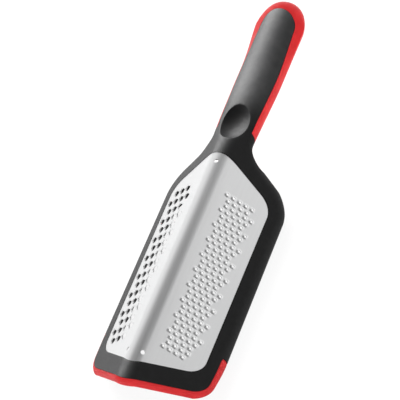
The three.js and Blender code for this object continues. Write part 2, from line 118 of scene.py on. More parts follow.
def solve(test: Callable[[float], float], low: float, high: float) -> float:
    """Value at which a rising test crosses zero.

    Args:
        test: Function that is negative at low and positive at high.
        low: Lower end of the search.
        high: Upper end of the search.

    Returns:
        The crossing, to a small fraction of the range.
    """
    for _ in range(HALVINGS):
        middle = (low + high) / 2
        if test(middle) < 0:
            low = middle
        else:
            high = middle
    return (low + high) / 2


@dataclass(frozen=True)
class Station:
    """Point of a plan outline with its outward normal."""

    x: float
    y: float
    nx: float
    ny: float

    def moved(self, out: float) -> Station:
        """The station moved outwards."""
        return Station(self.x + self.nx * out, self.y + self.ny * out, self.nx, self.ny)

    def place(self, out: float, z: float) -> Vector:
        """Point at a distance outwards and a height."""
        return Vector((self.x + self.nx * out, self.y + self.ny * out, z))


@dataclass(frozen=True)
class Corner:
    """Corner of a plan outline and the radius that rounds it."""

    x: float
    y: float
    radius: float


class PlanPath:
    """Right half of a plan outline, from the axis at the foot to the axis at the top."""

    LINE_STEP = 0.5
    ARC_STEP = math.radians(2)

    def __init__(self, corners: Sequence[Corner]) -> None:
        """Join the corners by lines and arcs.

        Args:
            corners: Corners in order, the first and last of them on the axis.
        """
        self.stations: list[Station] = []
        self.reach: list[float] = []
        for index, corner in enumerate(corners):
            before = corners[index - 1] if index else Corner(-corners[1].x, corners[1].y, 0)
            last = index == len(corners) - 1
            after = Corner(-before.x, before.y, 0) if last else corners[index + 1]
            self._round(corner, before, after, index == 0, last)
        self.length = self.reach[-1]

    def _round(self, corner: Corner, before: Corner, after: Corner, first: bool, last: bool) -> None:
        """Add the line up to a corner and the arc round it.

        Args:
            corner: Corner to add.
            before: Corner before it.
            after: Corner after it.
            first: Whether only the second half of the arc is wanted.
            last: Whether only the first half of the arc is wanted.
        """
        point = Vector((corner.x, corner.y))
        coming = (point - Vector((before.x, before.y))).normalized()
        going = (Vector((after.x, after.y)) - point).normalized()
        turn = math.atan2(coming.x * going.y - coming.y * going.x, coming.dot(going))
        start = point - coming * corner.radius * math.tan(abs(turn) / 2)
        side = math.copysign(1.0, turn)
        centre = start + Vector((-coming.y, coming.x)) * corner.radius * side
        if not first:
            self._line(start, coming)
        begin = 0.5 if first else 0.0
        end = 0.5 if last else 1.0
        steps = max(2, math.ceil(abs(turn) * (end - begin) / self.ARC_STEP))
        for step in range(steps + 1):
            angle = turn * lerp(begin, end, step / steps)
            heading = Matrix.Rotation(angle, 2) @ coming
            spot = centre - Vector((-heading.y, heading.x)) * corner.radius * side
            self._add(spot, heading)

    def _line(self, end: Vector, heading: Vector) -> None:
        """Add stations along a line from the last one.

        Args:
            end: Where the line ends.
            heading: Its direction.
        """
        start = Vector((self.stations[-1].x, self.stations[-1].y))
        steps = max(1, math.ceil((end - start).length / self.LINE_STEP))
        for step in range(1, steps + 1):
            self._add(start.lerp(end, step / steps), heading)

    def _add(self, spot: Vector, heading: Vector) -> None:
        """Add one station, unless the last one is already there.

        Args:
            spot: Its place.
            heading: Direction of the outline there.
        """
        station = Station(spot.x, spot.y, heading.y, -heading.x)
        if not self.stations:
            self.stations.append(Station(0.0, spot.y, 0.0, -1.0))
            self.reach.append(0.0)
            return
        before = self.stations[-1]
        gap = math.hypot(station.x - before.x, station.y - before.y)
        if gap > ROUNDING:
            self.stations.append(station)
            self.reach.append(self.reach[-1] + gap)

    def at(self, distance: float) -> Station:
        """Station at a distance along the outline.

        Args:
            distance: Distance from the foot.

        Returns:
            The station, between the two nearest ones.
        """
        index = min(max(bisect_left(self.reach, distance), 1), len(self.reach) - 1)
        low, high = self.stations[index - 1], self.stations[index]
        share = (distance - self.reach[index - 1]) / (self.reach[index] - self.reach[index - 1])
        share = min(max(share, 0.0), 1.0)
        normal = Vector((lerp(low.nx, high.nx, share), lerp(low.ny, high.ny, share))).normalized()
        return Station(lerp(low.x, high.x, share), lerp(low.y, high.y, share), normal.x, normal.y)

    def distance(self, y: float) -> float:
        """Distance along the outline at which it reaches y."""
        return solve(lambda spot: self.at(spot).y - y, 0.0, self.length)


@dataclass(frozen=True)
class Roof:
    """Two slopes joined by a round ridge, which the frame, the sheet and the handle's top share."""

    slope: float = math.radians(45)
    ridge_z: float = 54.686
    sheet_radius: float = 10.0
    least_radius: float = 0.5
    crown_radius: float = 18.8
    crown_tip_radius: float = 15.5
    crown_z: float = 48.386
    crown_reach: float = 0.85
    sheet_top_y: float = 28.0
    crown_y: float = 62.0
    swell_y: float = 95.0
    end_y: float = 144.4
    lift: float = 2.3

    def crown(self, y: float) -> float:
        """How far the roof has become the round top of the handle."""
        return smooth(y, self.sheet_top_y, self.crown_y)

    def _rear(self, y: float) -> float:
        """How far the handle has swelled towards its end."""
        return smooth(y, self.swell_y, self.end_y)

    def _bow(self, y: float) -> float:
        """Radius of the handle's round top."""
        return lerp(self.crown_radius, self.crown_tip_radius, self._rear(y))

    def height(self, x: float, y: float, depth: float = 0.0) -> float:
        """Height of the roof at a depth below its face.

        Args:
            x: Distance across.
            y: Distance along.
            depth: Depth square to the slopes.

        Returns:
            The height there.
        """
        radius = max(self.sheet_radius - depth, self.least_radius)
        peak = self.ridge_z - depth / math.cos(self.slope)
        if abs(x) > radius * math.sin(self.slope):
            gable = peak - abs(x) * math.tan(self.slope)
        else:
            gable = peak - radius / math.cos(self.slope) + math.sqrt(radius * radius - x * x)
        bow = self._bow(y)
        reach = min(abs(x), (bow - depth) * self.crown_reach)
        arch = self.crown_z + self.lift * self._rear(y) - bow + math.sqrt((bow - depth) ** 2 - reach * reach)
        return lerp(gable, arch, self.crown(y))

    def fall(self, x: float, y: float) -> float:
        """Steepness of the roof at a point.

        Args:
            x: Distance across.
            y: Distance along.

        Returns:
            Fall in height for each step outwards.
        """
        on_gable = min(abs(x), self.sheet_radius * math.sin(self.slope))
        bow = self._bow(y)
        on_arch = min(abs(x), bow * self.crown_reach)
        gable = on_gable / math.sqrt(self.sheet_radius ** 2 - on_gable * on_gable)
        arch = on_arch / math.sqrt(bow * bow - on_arch * on_arch)
        return lerp(gable, arch, self.crown(y))

    def point(self, x: float, y: float, depth: float = 0.0) -> Vector:
        """Point on the roof."""
        return Vector((x, y, self.height(x, y, depth)))


@dataclass(frozen=True)
class Plan:
    """Plan outlines and the places along the length that several pieces share."""

    tool: PlanPath = field(default_factory=lambda: PlanPath([
        Corner(0, -151.9, 13), Corner(41.8, -132.254, 13), Corner(40.7, 13.8, 17), Corner(12.0, 31.5, 21),
        Corner(14.1, 95, 300), Corner(11.9, 144.4, 11.6), Corner(0, 144.4, 0),
    ]))
    steel: PlanPath = field(default_factory=lambda: PlanPath([
        Corner(0, -138.8, 10), Corner(36.3, -121.376, 14), Corner(36.3, 8.761, 14), Corner(0, 28, 27),
    ]))
    sheet_foot_y: float = -138.8
    strip_end_y: float = -104.0
    neck_y: float = 31.5
    swell_y: float = 95.0
    end_y: float = 144.4
    grip_start_y: float = 45.0
    grip_side_z: float = 36.786
    grip_lean: float = 0.5

    def grip_plane(self, z: float) -> float:
        """Place along the length of the leaning face where the red grip starts."""
        return self.grip_start_y + self.grip_lean * (z - self.grip_side_z)

    def grip_meets(self, line: Callable[[Station], Vector], gap: float, ys: Sequence[float]) -> float:
        """Find where a line along the tool meets the leaning face.

        Args:
            line: Point of the line at a station of the tool's outline.
            gap: Distance past the face.
            ys: Places along the length to search between.

        Returns:
            Distance along the tool's outline.
        """
        def past(spot: float) -> float:
            """How far the line has run past the face."""
            point = line(self.tool.at(spot))
            return point.y - self.grip_plane(point.z) - gap

        return solve(past, *(self.tool.distance(y) for y in ys))


@dataclass(frozen=True)
class EdgeShape:
    """Section of the outer edge at one station."""

    top: float
    out: float
    side_z: float
    base_z: float
    slope: float


@dataclass(frozen=True)
class OuterEdge:
    """Rounded outer edge of the tool, from the roof to the underside."""

    roof: Roof
    plan: Plan
    rail_radius: float = 9.8
    foot_radius: float = 5.0
    foot_fall: float = 0.4254
    lower_share: float = 0.72
    neck_blend: float = 9.0
    grip_rise_neck: float = 1.4
    grip_rise_tip: float = 4.6
    grip_bottom_z: float = 31.986
    grip_crease: float = 1.08
    grip_crease_tip: float = 0.5
    overhang: float = 2.45
    overhang_rear: float = 5.9
    overhang_tip: float = 10.4
    tip_power: int = 3
    step: float = 0.02

    def shape(self, station: Station) -> EdgeShape:
        """Section at a station.

        Args:
            station: Place on the tool's plan outline.

        Returns:
            Its heights, its reach outwards and its slope at the top.
        """
        plan = self.plan
        y = station.y
        top = self.roof.height(station.x, y)
        fall = self.roof.fall(station.x, y) * abs(station.nx)
        neck = smooth(y, plan.neck_y - self.neck_blend, plan.neck_y + self.neck_blend)
        radius = lerp(self.foot_radius, self.rail_radius, smooth(y, plan.sheet_foot_y, plan.strip_end_y))
        angle = math.atan(max(fall, self.foot_fall))
        rear = smooth(y, plan.swell_y, plan.end_y)
        past = max(station.ny, 0.0) ** self.tip_power
        grip_out = lerp(lerp(self.overhang, self.overhang_rear, rear), self.overhang_tip, past * neck)
        front = 1 - smooth(y, plan.neck_y + self.neck_blend, plan.swell_y)
        grip_z = plan.grip_side_z + self.grip_rise_neck * front + self.grip_rise_tip * rear
        rail_base = max(top - radius * (math.cos(angle) + self.lower_share), 0.0)
        return EdgeShape(
            top=top,
            out=lerp(radius * (1 - math.sin(angle)), grip_out, neck),
            side_z=lerp(top - radius * math.cos(angle), grip_z, neck),
            base_z=lerp(rail_base, self.grip_bottom_z, neck),
            slope=fall * lerp(1.0, lerp(self.grip_crease, self.grip_crease_tip, rear), neck),
        )

    def curve(self, station: Station, turn: float) -> Vector:
        """Point of the section as (out, z).

        Args:
            station: Place on the tool's plan outline.
            turn: 0 at the roof, 1 at the widest line and 2 at the base.

        Returns:
            Distance outwards and height.
        """
        shape = self.shape(station)
        side = Vector((shape.out, shape.side_z))
        if turn <= 1:
            start, end = Vector((0.0, shape.top)), side
            knee = Vector((shape.out, shape.top - shape.out * shape.slope))
        else:
            drop = shape.side_z - shape.base_z
            start, end = side, Vector((shape.out - drop, shape.base_z))
            knee = Vector((shape.out, shape.base_z))
        angle = (turn if turn <= 1 else turn - 1) * math.pi / 2
        return knee + (start - knee) * (1 - math.sin(angle)) + (end - knee) * (1 - math.cos(angle))

    def point(self, station: Station, turn: float, sunk: float = 0.0) -> Vector:
        """Point of the edge in space.

        Args:
            station: Place on the tool's plan outline.
            turn: Place round the section.
            sunk: Depth below the surface.

        Returns:
            The point.
        """
        spot = self.curve(station, turn)
        if sunk:
            ahead = self.curve(station, min(turn + self.step, 2.0))
            behind = self.curve(station, max(turn - self.step, 0.0))
            along = (ahead - behind).normalized()
            spot = spot + Vector((along.y, -along.x)) * sunk
        return station.place(spot.x, spot.y)


def mirrored(row: Row) -> Row:
    """The row on the other side of the middle plane."""
    return [Vector((-point.x, point.y, point.z)) for point in row]


def around(right: Row) -> Row:
    """Closed loop from a right half that starts and ends on the axis."""
    return right + mirrored(right)[-2:0:-1]


def across(right: Row) -> Row:
    """Open row from the right-hand end of a half, over the axis, to its mirror image."""
    return right[::-1] + mirrored(right)[1:]


class Skin:
    """A mesh in the making, swept row by row."""

    def __init__(self) -> None:
        """Start an empty mesh."""
        self.mesh = bmesh.new()

    def sweep(self, rows: Sequence[Row], closed: bool = False) -> None:
        """Extrude a row of edges from one row of points to the next.

        Args:
            rows: Rows of equally many points.
            closed: Whether each row closes on itself.
        """
        row = [self.mesh.verts.new(point) for point in rows[0]]
        ends = row[1:] + row[:1] if closed else row[1:]
        edges = [self.mesh.edges.new(pair) for pair in zip(row, ends)]
        for points in rows[1:]:
            made = bmesh.ops.extrude_edge_only(self.mesh, edges=edges)["geom"]
            fresh = {item for item in made if isinstance(item, bmesh.types.BMVert)}
            joined = [item for item in made if isinstance(item, bmesh.types.BMEdge)]
            row = [self._partner(vert, fresh) for vert in row]
            for vert, point in zip(row, points):
                vert.co = point
            edges = [edge for edge in joined if set(edge.verts) <= fresh]

    @staticmethod
    def _partner(vert: bmesh.types.BMVert, fresh: set[bmesh.types.BMVert]) -> bmesh.types.BMVert:
        """The new vertex that an extruded one is joined to."""
        return next(edge.other_vert(vert) for edge in vert.link_edges if edge.other_vert(vert) in fresh)

    def merge(self) -> None:
        """Join the patches where they meet."""
        bmesh.ops.remove_doubles(self.mesh, verts=self.mesh.verts[:], dist=MERGE)
        bmesh.ops.dissolve_degenerate(self.mesh, edges=self.mesh.edges[:], dist=MERGE / 2)

    def finish(self, name: str, crease: float) -> bpy.types.Object:
        """Turn the mesh into an object in metres, at the part's place.

        Args:
            name: Name of the piece.
            crease: Angle past which an edge stays sharp.

        Returns:
            The new object.
        """
        self.merge()
        loose = [vert for vert in self.mesh.verts if not vert.link_faces]
        bmesh.ops.delete(self.mesh, geom=loose, context="VERTS")
        bmesh.ops.recalc_face_normals(self.mesh, faces=self.mesh.faces[:])
        place = Matrix.Scale(METRES, 4) @ Matrix.Translation((0.0, PART_SHIFT_Y, 0.0))
        bmesh.ops.transform(self.mesh, matrix=place, verts=self.mesh.verts[:])
        for face in self.mesh.faces:
            face.smooth = True
        for edge in self.mesh.edges:
            edge.smooth = edge.calc_face_angle(math.pi) < crease
        open_edges = sum(1 for edge in self.mesh.edges if not edge.is_manifold)
        data = bpy.data.meshes.new(name)
        self.mesh.to_mesh(data)
        LOG.info("%s: %d faces, %d open edges", name, len(self.mesh.faces), open_edges)
        self.mesh.free()
        piece = bpy.data.objects.new(name, data)
        bpy.context.scene.collection.objects.link(piece)
        return piece


class Stamp:
    """A small piece of mesh that is laid over a larger one many times."""

    def __init__(self) -> None:
        """Start an empty piece."""
        self.cell = Skin()
        self.data = bpy.data.meshes.new("stamp")
        self.place = Vector((0.0, 0.0, 0.0))

    @classmethod
    def pierced(cls, rings: Sequence[Row]) -> Stamp:
        """Piece swept through closed rings, from its upper border to its lower one.

        Args:
            rings: The rings in order.

        Returns:
            The new piece.
        """
        stamp = cls()
        stamp.cell.sweep(rings, closed=True)
        return stamp

    @classmethod
    def plain(cls, borders: Sequence[Row]) -> Stamp:
        """Piece with one flat face in each border.

        Args:
            borders: The borders.

        Returns:
            The new piece.
        """
        stamp = cls()
        for border in borders:
            row = [stamp.cell.mesh.verts.new(point) for point in border]
            bmesh.ops.contextual_create(stamp.cell.mesh, geom=row)
        return stamp

    def lay(self, skin: Skin, place: Vector) -> None:
        """Add a copy of the piece to a mesh.

        Args:
            skin: Mesh to add to.
            place: Where the piece's middle goes.
        """
        mesh = self.cell.mesh
        bmesh.ops.translate(mesh, vec=place - self.place, verts=mesh.verts[:])
        self.place = place
        mesh.to_mesh(self.data)
        skin.mesh.from_mesh(self.data)

    def clear(self) -> None:
        """Drop the piece."""
        self.cell.mesh.free()
        bpy.data.meshes.remove(self.data)


class Nodes:
    """Shader nodes of one material or world."""

    def __init__(self, owner: bpy.types.Material | bpy.types.World, bare: bool = False) -> None:
        """Take up the owner's node tree.

        Args:
            owner: Material or world.
            bare: Whether the nodes that it comes with are cleared.
        """
        owner.use_nodes = True
        self.tree = owner.node_tree
        if bare:
            self.tree.nodes.clear()

    def put(self, end: Socket, value: object) -> None:
        """Link an input to a socket, or set its value.

        Args:
            end: The input.
            value: Socket or plain value.
        """
        if isinstance(value, Socket):
            self.tree.links.new(value, end)
        else:
            end.default_value = value

    def add(self, kind: str, inputs: dict[str | int, object] | None = None) -> bpy.types.Node:
        """Add a node.

        Args:
            kind: Kind of node.
            inputs: Socket or plain value for each input, by the input's name or number.

        Returns:
            The new node.
        """
        node = self.tree.nodes.new(kind)
        for name, value in (inputs or {}).items():
            self.put(node.inputs[name], value)
        return node

    def joined(self, operation: str, first: Socket, second: object) -> Socket:
        """Join two values by a sum.

        Args:
            operation: Kind of sum.
            first: Socket of the first value.
            second: Socket or plain value.

        Returns:
            Socket of the result.
        """
        node = self.add("ShaderNodeMath", {0: first, 1: second})
        node.operation = operation
        return node.outputs[0]

    def ramp(self, value: Socket, stops: Sequence[tuple[float, Colour]]) -> Socket:
        """Pick a colour from a ramp.

        Args:
            value: Socket of the place on the ramp.
            stops: Positions and their colours, in rising order.

        Returns:
            Socket of the colour.
        """
        node = self.add("ShaderNodeValToRGB", {"Fac": value})
        elements = node.color_ramp.elements
        for index, (position, colour) in enumerate(stops):
            element = elements[index] if index < len(elements) else elements.new(position)
            element.position = position
            element.color = (*colour, 1.0)
        return node.outputs["Color"]


@dataclass(frozen=True)
class Grain:
    """Noise over a piece's own coordinates, in features per metre, and its scale along the length."""

    scale: float
    detail: float
    along: float = 1.0

    def value(self, nodes: Nodes) -> Socket:
        """Add the noise.

        Args:
            nodes: Nodes to add to.

        Returns:
            Socket of its value.
        """
        place = nodes.add("ShaderNodeTexCoord").outputs["Object"]
        mapping = nodes.add("ShaderNodeMapping", {"Vector": place, "Scale": (1.0, self.along, 1.0)})
        inputs = {"Vector": mapping.outputs["Vector"], "Scale": self.scale, "Detail": self.detail}
        return nodes.add("ShaderNodeTexNoise", inputs).outputs["Fac"]


@dataclass(frozen=True)
class GripToneAndHighlight:
    """Lighter colours that take over along the tool's length, between two places in metres: partly a greyer
    grip, partly a painted highlight on the handle.
    """

    dark: Colour
    light: Colour
    start: float
    end: float


@dataclass(frozen=True)
class Finish:
    """Surface of a piece, with a noise each for its colour, its roughness and its relief."""

    name: str
    dark: Colour
    light: Colour
    mottle: Grain
    roughness: tuple[float, float]
    sheen: Grain
    relief: Grain
    relief_share: float
    relief_height: float
    specular: float = 0.5
    metallic: float = 0.0
    # Lighter black on the handle: partly a greyer grip, partly a painted highlight.
    grip: GripToneAndHighlight | None = None

    @staticmethod
    def _ranged(nodes: Nodes, value: Socket, start: Sequence[float], end: Sequence[float],
                kind: str) -> Socket:
        """Carry a value from one range over to another.

        Args:
            nodes: Nodes to add to.
            value: Socket of the value.
            start: Range that it comes in.
            end: Range that it leaves in.
            kind: Course between the two ends.

        Returns:
            Socket of the new value.
        """
        names = ("Value", "From Min", "From Max", "To Min", "To Max")
        node = nodes.add("ShaderNodeMapRange", dict(zip(names, (value, *start, *end))))
        node.interpolation_type = kind
        return node.outputs["Result"]

    def _grip_tone_and_highlight(self, nodes: Nodes, frame: Socket, grip: Socket) -> Socket:
        """Colour that passes from the frame's to the grip's lighter one along the tool's length; the lighter
        one is partly a painted highlight.

        Args:
            nodes: Nodes to add to.
            frame: Socket of the frame's colour.
            grip: Socket of the grip's lighter colour, partly a painted highlight.

        Returns:
            Socket of the colour.
        """
        place = nodes.add("ShaderNodeTexCoord").outputs["Object"]
        along = nodes.add("ShaderNodeSeparateXYZ", {"Vector": place}).outputs["Y"]
        share = self._ranged(nodes, along, (self.grip.start, self.grip.end), (0.0, 1.0), "SMOOTHSTEP")
        mix = nodes.add("ShaderNodeMix")
        mix.data_type = "RGBA"
        sockets = {socket.identifier: socket for socket in (*mix.inputs, *mix.outputs)}
        for name, value in (("Factor_Float", share), ("A_Color", frame), ("B_Color", grip)):
            nodes.put(sockets[name], value)
        return sockets["Result_Color"]

    def material(self) -> bpy.types.Material:
        """Build the finish.

        Returns:
            The new material.
        """
        material = bpy.data.materials.new(self.name)
        nodes = Nodes(material)
        mottle = self.mottle.value(nodes)
        colour = nodes.ramp(mottle, tuple(zip(NOISE_SPAN, (self.dark, self.light))))
        # The handle's lighter black is partly a painted highlight.
        if self.grip:
            grip = nodes.ramp(mottle, tuple(zip(NOISE_SPAN, (self.grip.dark, self.grip.light))))
            colour = self._grip_tone_and_highlight(nodes, colour, grip)
        bump = nodes.add("ShaderNodeBump", {
            "Strength": self.relief_share,
            "Distance": self.relief_height,
            "Height": self.relief.value(nodes),
        })
        inputs = {
            "Base Color": colour,
            "Roughness": self._ranged(nodes, self.sheen.value(nodes), NOISE_SPAN, self.roughness, "LINEAR"),
            "Normal": bump.outputs["Normal"],
            "Specular IOR Level": self.specular,
            "Metallic": self.metallic,
        }
        shader = nodes.tree.nodes["Principled BSDF"]
        for name, value in inputs.items():
            nodes.put(shader.inputs[name], value)
        return material


BLACK_MOULDING = Finish(
    "black_moulding", dark=(0.0036, 0.0036, 0.0038), light=(0.0054, 0.0054, 0.0057),
    mottle=Grain(180.0, 3.0), roughness=(0.54, 0.62), sheen=Grain(420.0, 4.0),
    relief=Grain(5200.0, 2.0), relief_share=0.22, relief_height=0.00012, specular=0.24,
    # Lighter black on the handle: partly a greyer grip, partly a painted highlight.
    grip=GripToneAndHighlight((0.017, 0.017, 0.0174), (0.023, 0.023, 0.0234), 0.058, 0.078),
)
SATIN_STEEL = Finish(
    "satin_steel", dark=(0.86, 0.864, 0.868), light=(0.885, 0.888, 0.891), mottle=Grain(900.0, 5.0, 0.03),
    roughness=(0.31, 0.36), sheen=Grain(1500.0, 4.0, 0.02),
    relief=Grain(2600.0, 3.0, 0.03), relief_share=0.08, relief_height=0.00004, metallic=1.0,
)
RED_MOULDING = Finish(
    "red_moulding", dark=(0.58, 0.011, 0.013), light=(0.66, 0.015, 0.018), mottle=Grain(150.0, 3.0),
    roughness=(0.36, 0.46), sheen=Grain(500.0, 3.0),
    relief=Grain(4200.0, 2.0), relief_share=0.15, relief_height=0.0001, specular=0.3,
)
RED_SOFT = Finish(
    "red_soft", dark=(0.50, 0.010, 0.012), light=(0.58, 0.014, 0.017), mottle=Grain(130.0, 3.0),
    roughness=(0.52, 0.64), sheen=Grain(600.0, 3.0),
    relief=Grain(3400.0, 3.0), relief_share=0.25, relief_height=0.00012, specular=0.3,
)


class Dressed:
    """Sub-assembly with a finish of its own."""

    FINISH: Finish

    def dress(self, piece: bpy.types.Object) -> None:
        """Give the piece its finish."""
        piece.data.materials.append(self.FINISH.material())


@dataclass(frozen=True)
class StripSeat:
    """Where the foot strip and its rebate lie on the outer edge."""

    plan: Plan
    corner: float = 2.5
    corner_share: float = 0.2
    rail_drop: float = 0.25
    drop_from_y: float = -136.0
    drop_full_y: float = -112.0
    fade_from_y: float = -95.0
    fade_full_y: float = -60.0

    def distance(self, turn: float) -> float:
        """Distance along the tool's outline at which the strip ends, at a place round its section.

        Args:
            turn: Place round the section.

        Returns:
            The distance, which is shorter at the rounded corners.
        """
        edge = max(abs(turn - 1) - (1 - self.corner_share), 0.0) / self.corner_share
        cut = self.corner * (1 - math.sqrt(max(1 - edge * edge, 0.0)))
        return self.plan.tool.distance(self.plan.strip_end_y) - cut

    def turn(self, station: Station, share: float) -> float:
        """Place round the edge's section of a line of the strip.

        Args:
            station: Place on the tool's plan outline.
            share: 0 at the strip's upper edge and 2 at its lower edge.

        Returns:
            The place, which lies lower on the rails than on the foot.
        """
        drop = smooth(station.y, self.drop_from_y, self.drop_full_y)
        fade = smooth(station.y, self.fade_from_y, self.fade_full_y)
        return lerp(self.rail_drop * drop * (1 - fade), 2.0, share / 2)


@dataclass
class Frame(Dressed):
    """Black frame, neck and top of the handle, in one moulding."""

    FINISH = BLACK_MOULDING
    roof: Roof
    plan: Plan
    edge: OuterEdge
    strip: StripSeat
    ledge: float = 2.0
    seat: float = 3.2
    lip: float = 0.15
    lip_round: float = 0.05
    seat_depth: float = 1.0
    rebate: float = 2.15
    scoop: float = 14.8
    crossing_y: float = 33.0
    recess_y: float = 51.6
    recess_radii: tuple[float, float, float] = (13.7, 16.0, 13.5)
    recess_z: float = 55.286
    recess_rim: float = 0.35
    recess_end_y: float = 70.0
    core_bottom_z: float = 34.6
    gap: float = 0.15
    chamfer: tuple[float, float] = (2.4, 6.0)
    chamfer_foot: tuple[float, float] = (-128.0, -112.0)
    chamfer_top: tuple[float, float] = (-2.0, 8.0)
    inner_edge: float = 0.4
    foot_blend: tuple[float, float] = (4.0, 24.0)
    scoop_ys: tuple[float, float] = (24.0, 32.5)
    brim: float = 0.4
    land_shares: tuple[float, ...] = (0.12, 0.3, 0.5, 0.75)
    rail_end_y: float = -2.0
    steel_rail_end_y: float = -4.0
    steel_crossing_y: float = 22.4
    neck_reach_y: float = 60.0
    recess_ys: tuple[float, ...] = (50.5, 54.0, 58.0, 62.0, 66.0)
    apron_shares: tuple[float, ...] = (0.35, 0.7)
    bowl_shares: tuple[float, ...] = (0.9, 0.78, 0.64, 0.48, 0.3, 0.14, 0.0)
    bowl_spread: float = 0.62
    bowl_search: tuple[float, float] = (0.2, 0.999)
    rim_reach: float = 12.0
    rim_drop: float = 0.25
    same_y: float = 0.01
    crease: float = math.radians(38)
    foot_columns: int = 46
    rail_columns: int = 30
    shoulder_columns: int = 30
    half_columns: int = 8
    neck_columns: int = 10
    tip_columns: int = 56
    edge_rows: int = 16
    turns: list[float] = field(init=False)

    def __post_init__(self) -> None:
        """Set the places round the edge's section."""
        self.turns = [2 * share for share in shares(self.edge_rows)]

    def _spots(self, end: float, top: float, crossing: float) -> tuple[list[float], list[float]]:
        """Distances along an outline, on the foot and then on the rail and the shoulder.

        Args:
            end: Where the foot ends.
            top: Where the rail ends.
            crossing: Where the shoulder ends.

        Returns:
            Those on the foot, and those beyond it.
        """
        foot = [end * share for share in shares(self.foot_columns)]
        rail = [lerp(end, top, share) for share in shares(self.rail_columns)]
        shoulder = [lerp(top, crossing, share) for share in shares(self.shoulder_columns)]
        return foot, rail + shoulder[1:]

    def _edge_half(self, turn: float, sunk: float = 0.0, seated: bool = True) -> Row:
        """Right half of one row of the outer edge.

        Args:
            turn: Place round the edge's section.
            sunk: Depth of the rebate under the strip.
            seated: Whether the row follows the strip's seat down the rails.

        Returns:
            Points from the middle of the foot to the neck.
        """
        tool = self.plan.tool
        foot, beyond = self._spots(
            self.strip.distance(turn), tool.distance(self.rail_end_y), tool.distance(self.crossing_y))
        row = []
        for spot, depth in [*((spot, sunk) for spot in foot), *((spot, 0.0) for spot in beyond)]:
            station = tool.at(spot)
            row.append(self.edge.point(station, self.strip.turn(station, turn) if seated else turn, depth))
        return row

    def _steel_half(self) -> list[Station]:
        """Stations on the steel's outline that face the columns of the outer edge.

        Returns:
            Stations from the middle of the foot to the middle of the top.
        """
        steel = self.plan.steel
        crossing = steel.distance(self.steel_crossing_y)
        foot, beyond = self._spots(
            steel.distance(self.plan.strip_end_y), steel.distance(self.steel_rail_end_y), crossing)
        over = [lerp(crossing, steel.length, share) for share in shares(self.half_columns)[1:]]
        stations = [steel.at(spot) for spot in [*foot, *beyond, *over]]
        return [*stations[:-1], Station(0.0, stations[-1].y, 0.0, 1.0)]

    def _crossing(self, corner: Vector, on_roof: bool) -> Row:
        """Points from a corner of the neck to the axis, on the roof or level.

        Args:
            corner: Where they start.
            on_roof: Whether they lie on the roof.

        Returns:
            The points after the corner.
        """
        middle = Vector((0.0, corner.y, corner.z))
        row = [corner.lerp(middle, share) for share in shares(self.half_columns)[1:]]
        return [self.roof.point(point.x, point.y) for point in row] if on_roof else row

    def _surround(self, skin: Skin) -> None:
        """Sweep the frame round the steel's window, from its base over the lip to the outer edge.

        Args:
            skin: Mesh to add to.
        """
        steel = self._steel_half()
        base = self._edge_half(2.0)
        base += self._crossing(base[-1], False)
        outer = self._edge_half(0.0, seated=False)
        outer += self._crossing(outer[-1], True)

        def inset(out: float, depth: float) -> Row:
            """The steel's outline moved outwards, at a depth below the roof."""
            moved = [station.moved(out) for station in steel]
            return [self.roof.point(station.x, station.y, depth) for station in moved]

        wall = inset(-self.ledge, self.seat_depth)
        foot = []
        for low, high in zip(base, wall):
            share = 1 - smooth(low.y - self.plan.sheet_foot_y, *self.foot_blend)
            rise = self.roof.height(high.x, high.y) - self.roof.height(low.x, low.y)
            scoop = self.scoop * smooth(low.y, *self.scoop_ys)
            foot.append(Vector((high.x, high.y, low.z + rise * share + scoop)))
        brim = inset(self.brim, 0.0)
        rows = [
            base, *self._chamfered(foot, steel), wall,
            inset(self.seat, self.seat_depth), inset(self.seat, self.lip), inset(0.0, self.lip),
            inset(self.lip_round, self.lip_round), brim,
        ]
        for share in self.land_shares:
            spots = [low.lerp(high, share) for low, high in zip(brim, outer)]
            rows.append([self.roof.point(spot.x, spot.y) for spot in spots])
        rows.append(outer)
        skin.sweep([around(row) for row in rows], closed=True)

    def _chamfered(self, foot: Row, steel: Sequence[Station]) -> tuple[Row, Row]:
        """Two rows in place of the inner lower edge, which is cut back along the rails.

        Args:
            foot: Points of the edge before it is cut.
            steel: Stations that the points face.

        Returns:
            The lower row and the upper row.
        """
        out, rise = self.chamfer
        low, high = [], []
        for point, station in zip(foot, steel):
            share = smooth(point.y, *self.chamfer_foot) * (1 - smooth(point.y, *self.chamfer_top))
            low.append(point + Vector((station.nx, station.ny, 0.0)) * out * share)
            high.append(point + Vector((0.0, 0.0, lerp(self.inner_edge, rise, share))))
        return low, high

    def _outer_edge(self, skin: Skin) -> None:
        """Sweep the outer rounding of the rails and the foot, with the rebate for the strip.

        Args:
            skin: Mesh to add to.
        """
        rows = [self._edge_half(0.0, seated=False), self._edge_half(0.0)]
        rows += [self._edge_half(turn, self.rebate) for turn in self.turns]
        rows.append(self._edge_half(2.0))
        skin.sweep([across(row) for row in rows])

    def _neck_end(self, turn: float) -> float:
        """Distance along the outline at which a line of the neck meets the leaning face."""
        ys = (self.crossing_y, self.neck_reach_y)
        return self.plan.grip_meets(lambda station: self.edge.point(station, turn), -self.gap, ys)

    def _girth(self, half: Row) -> Row:
        """Row from the right top edge under the neck or handle to the left top edge."""
        right = half + self._crossing(half[-1], False)
        return right + mirrored(right)[-2::-1]

    def _core_half(self, y: float) -> Row:
        """Right wall of the handle's top shell.

        Args:
            y: Distance along.

        Returns:
            Points from the roof down to the underside.
        """
        tool = self.plan.tool
        station = tool.at(tool.distance(y))
        top = self.roof.height(station.x, y)
        heights = [lerp(top, self.core_bottom_z, share) for share in shares(self.edge_rows)]
        return [Vector((station.x, y, z)) for z in heights]

    def _handle_ys(self) -> list[float]:
        """Places of the handle's sections past the leaning face.

        Returns:
            Distances along the tool.
        """
        tool = self.plan.tool
        ys = [*self.recess_ys, self.recess_end_y]
        start = tool.distance(self.recess_end_y)
        ys += [tool.at(lerp(start, tool.length, share)).y for share in shares(self.tip_columns)[1:]]
        return [y for index, y in enumerate(ys) if index == 0 or y - ys[index - 1] > self.same_y]

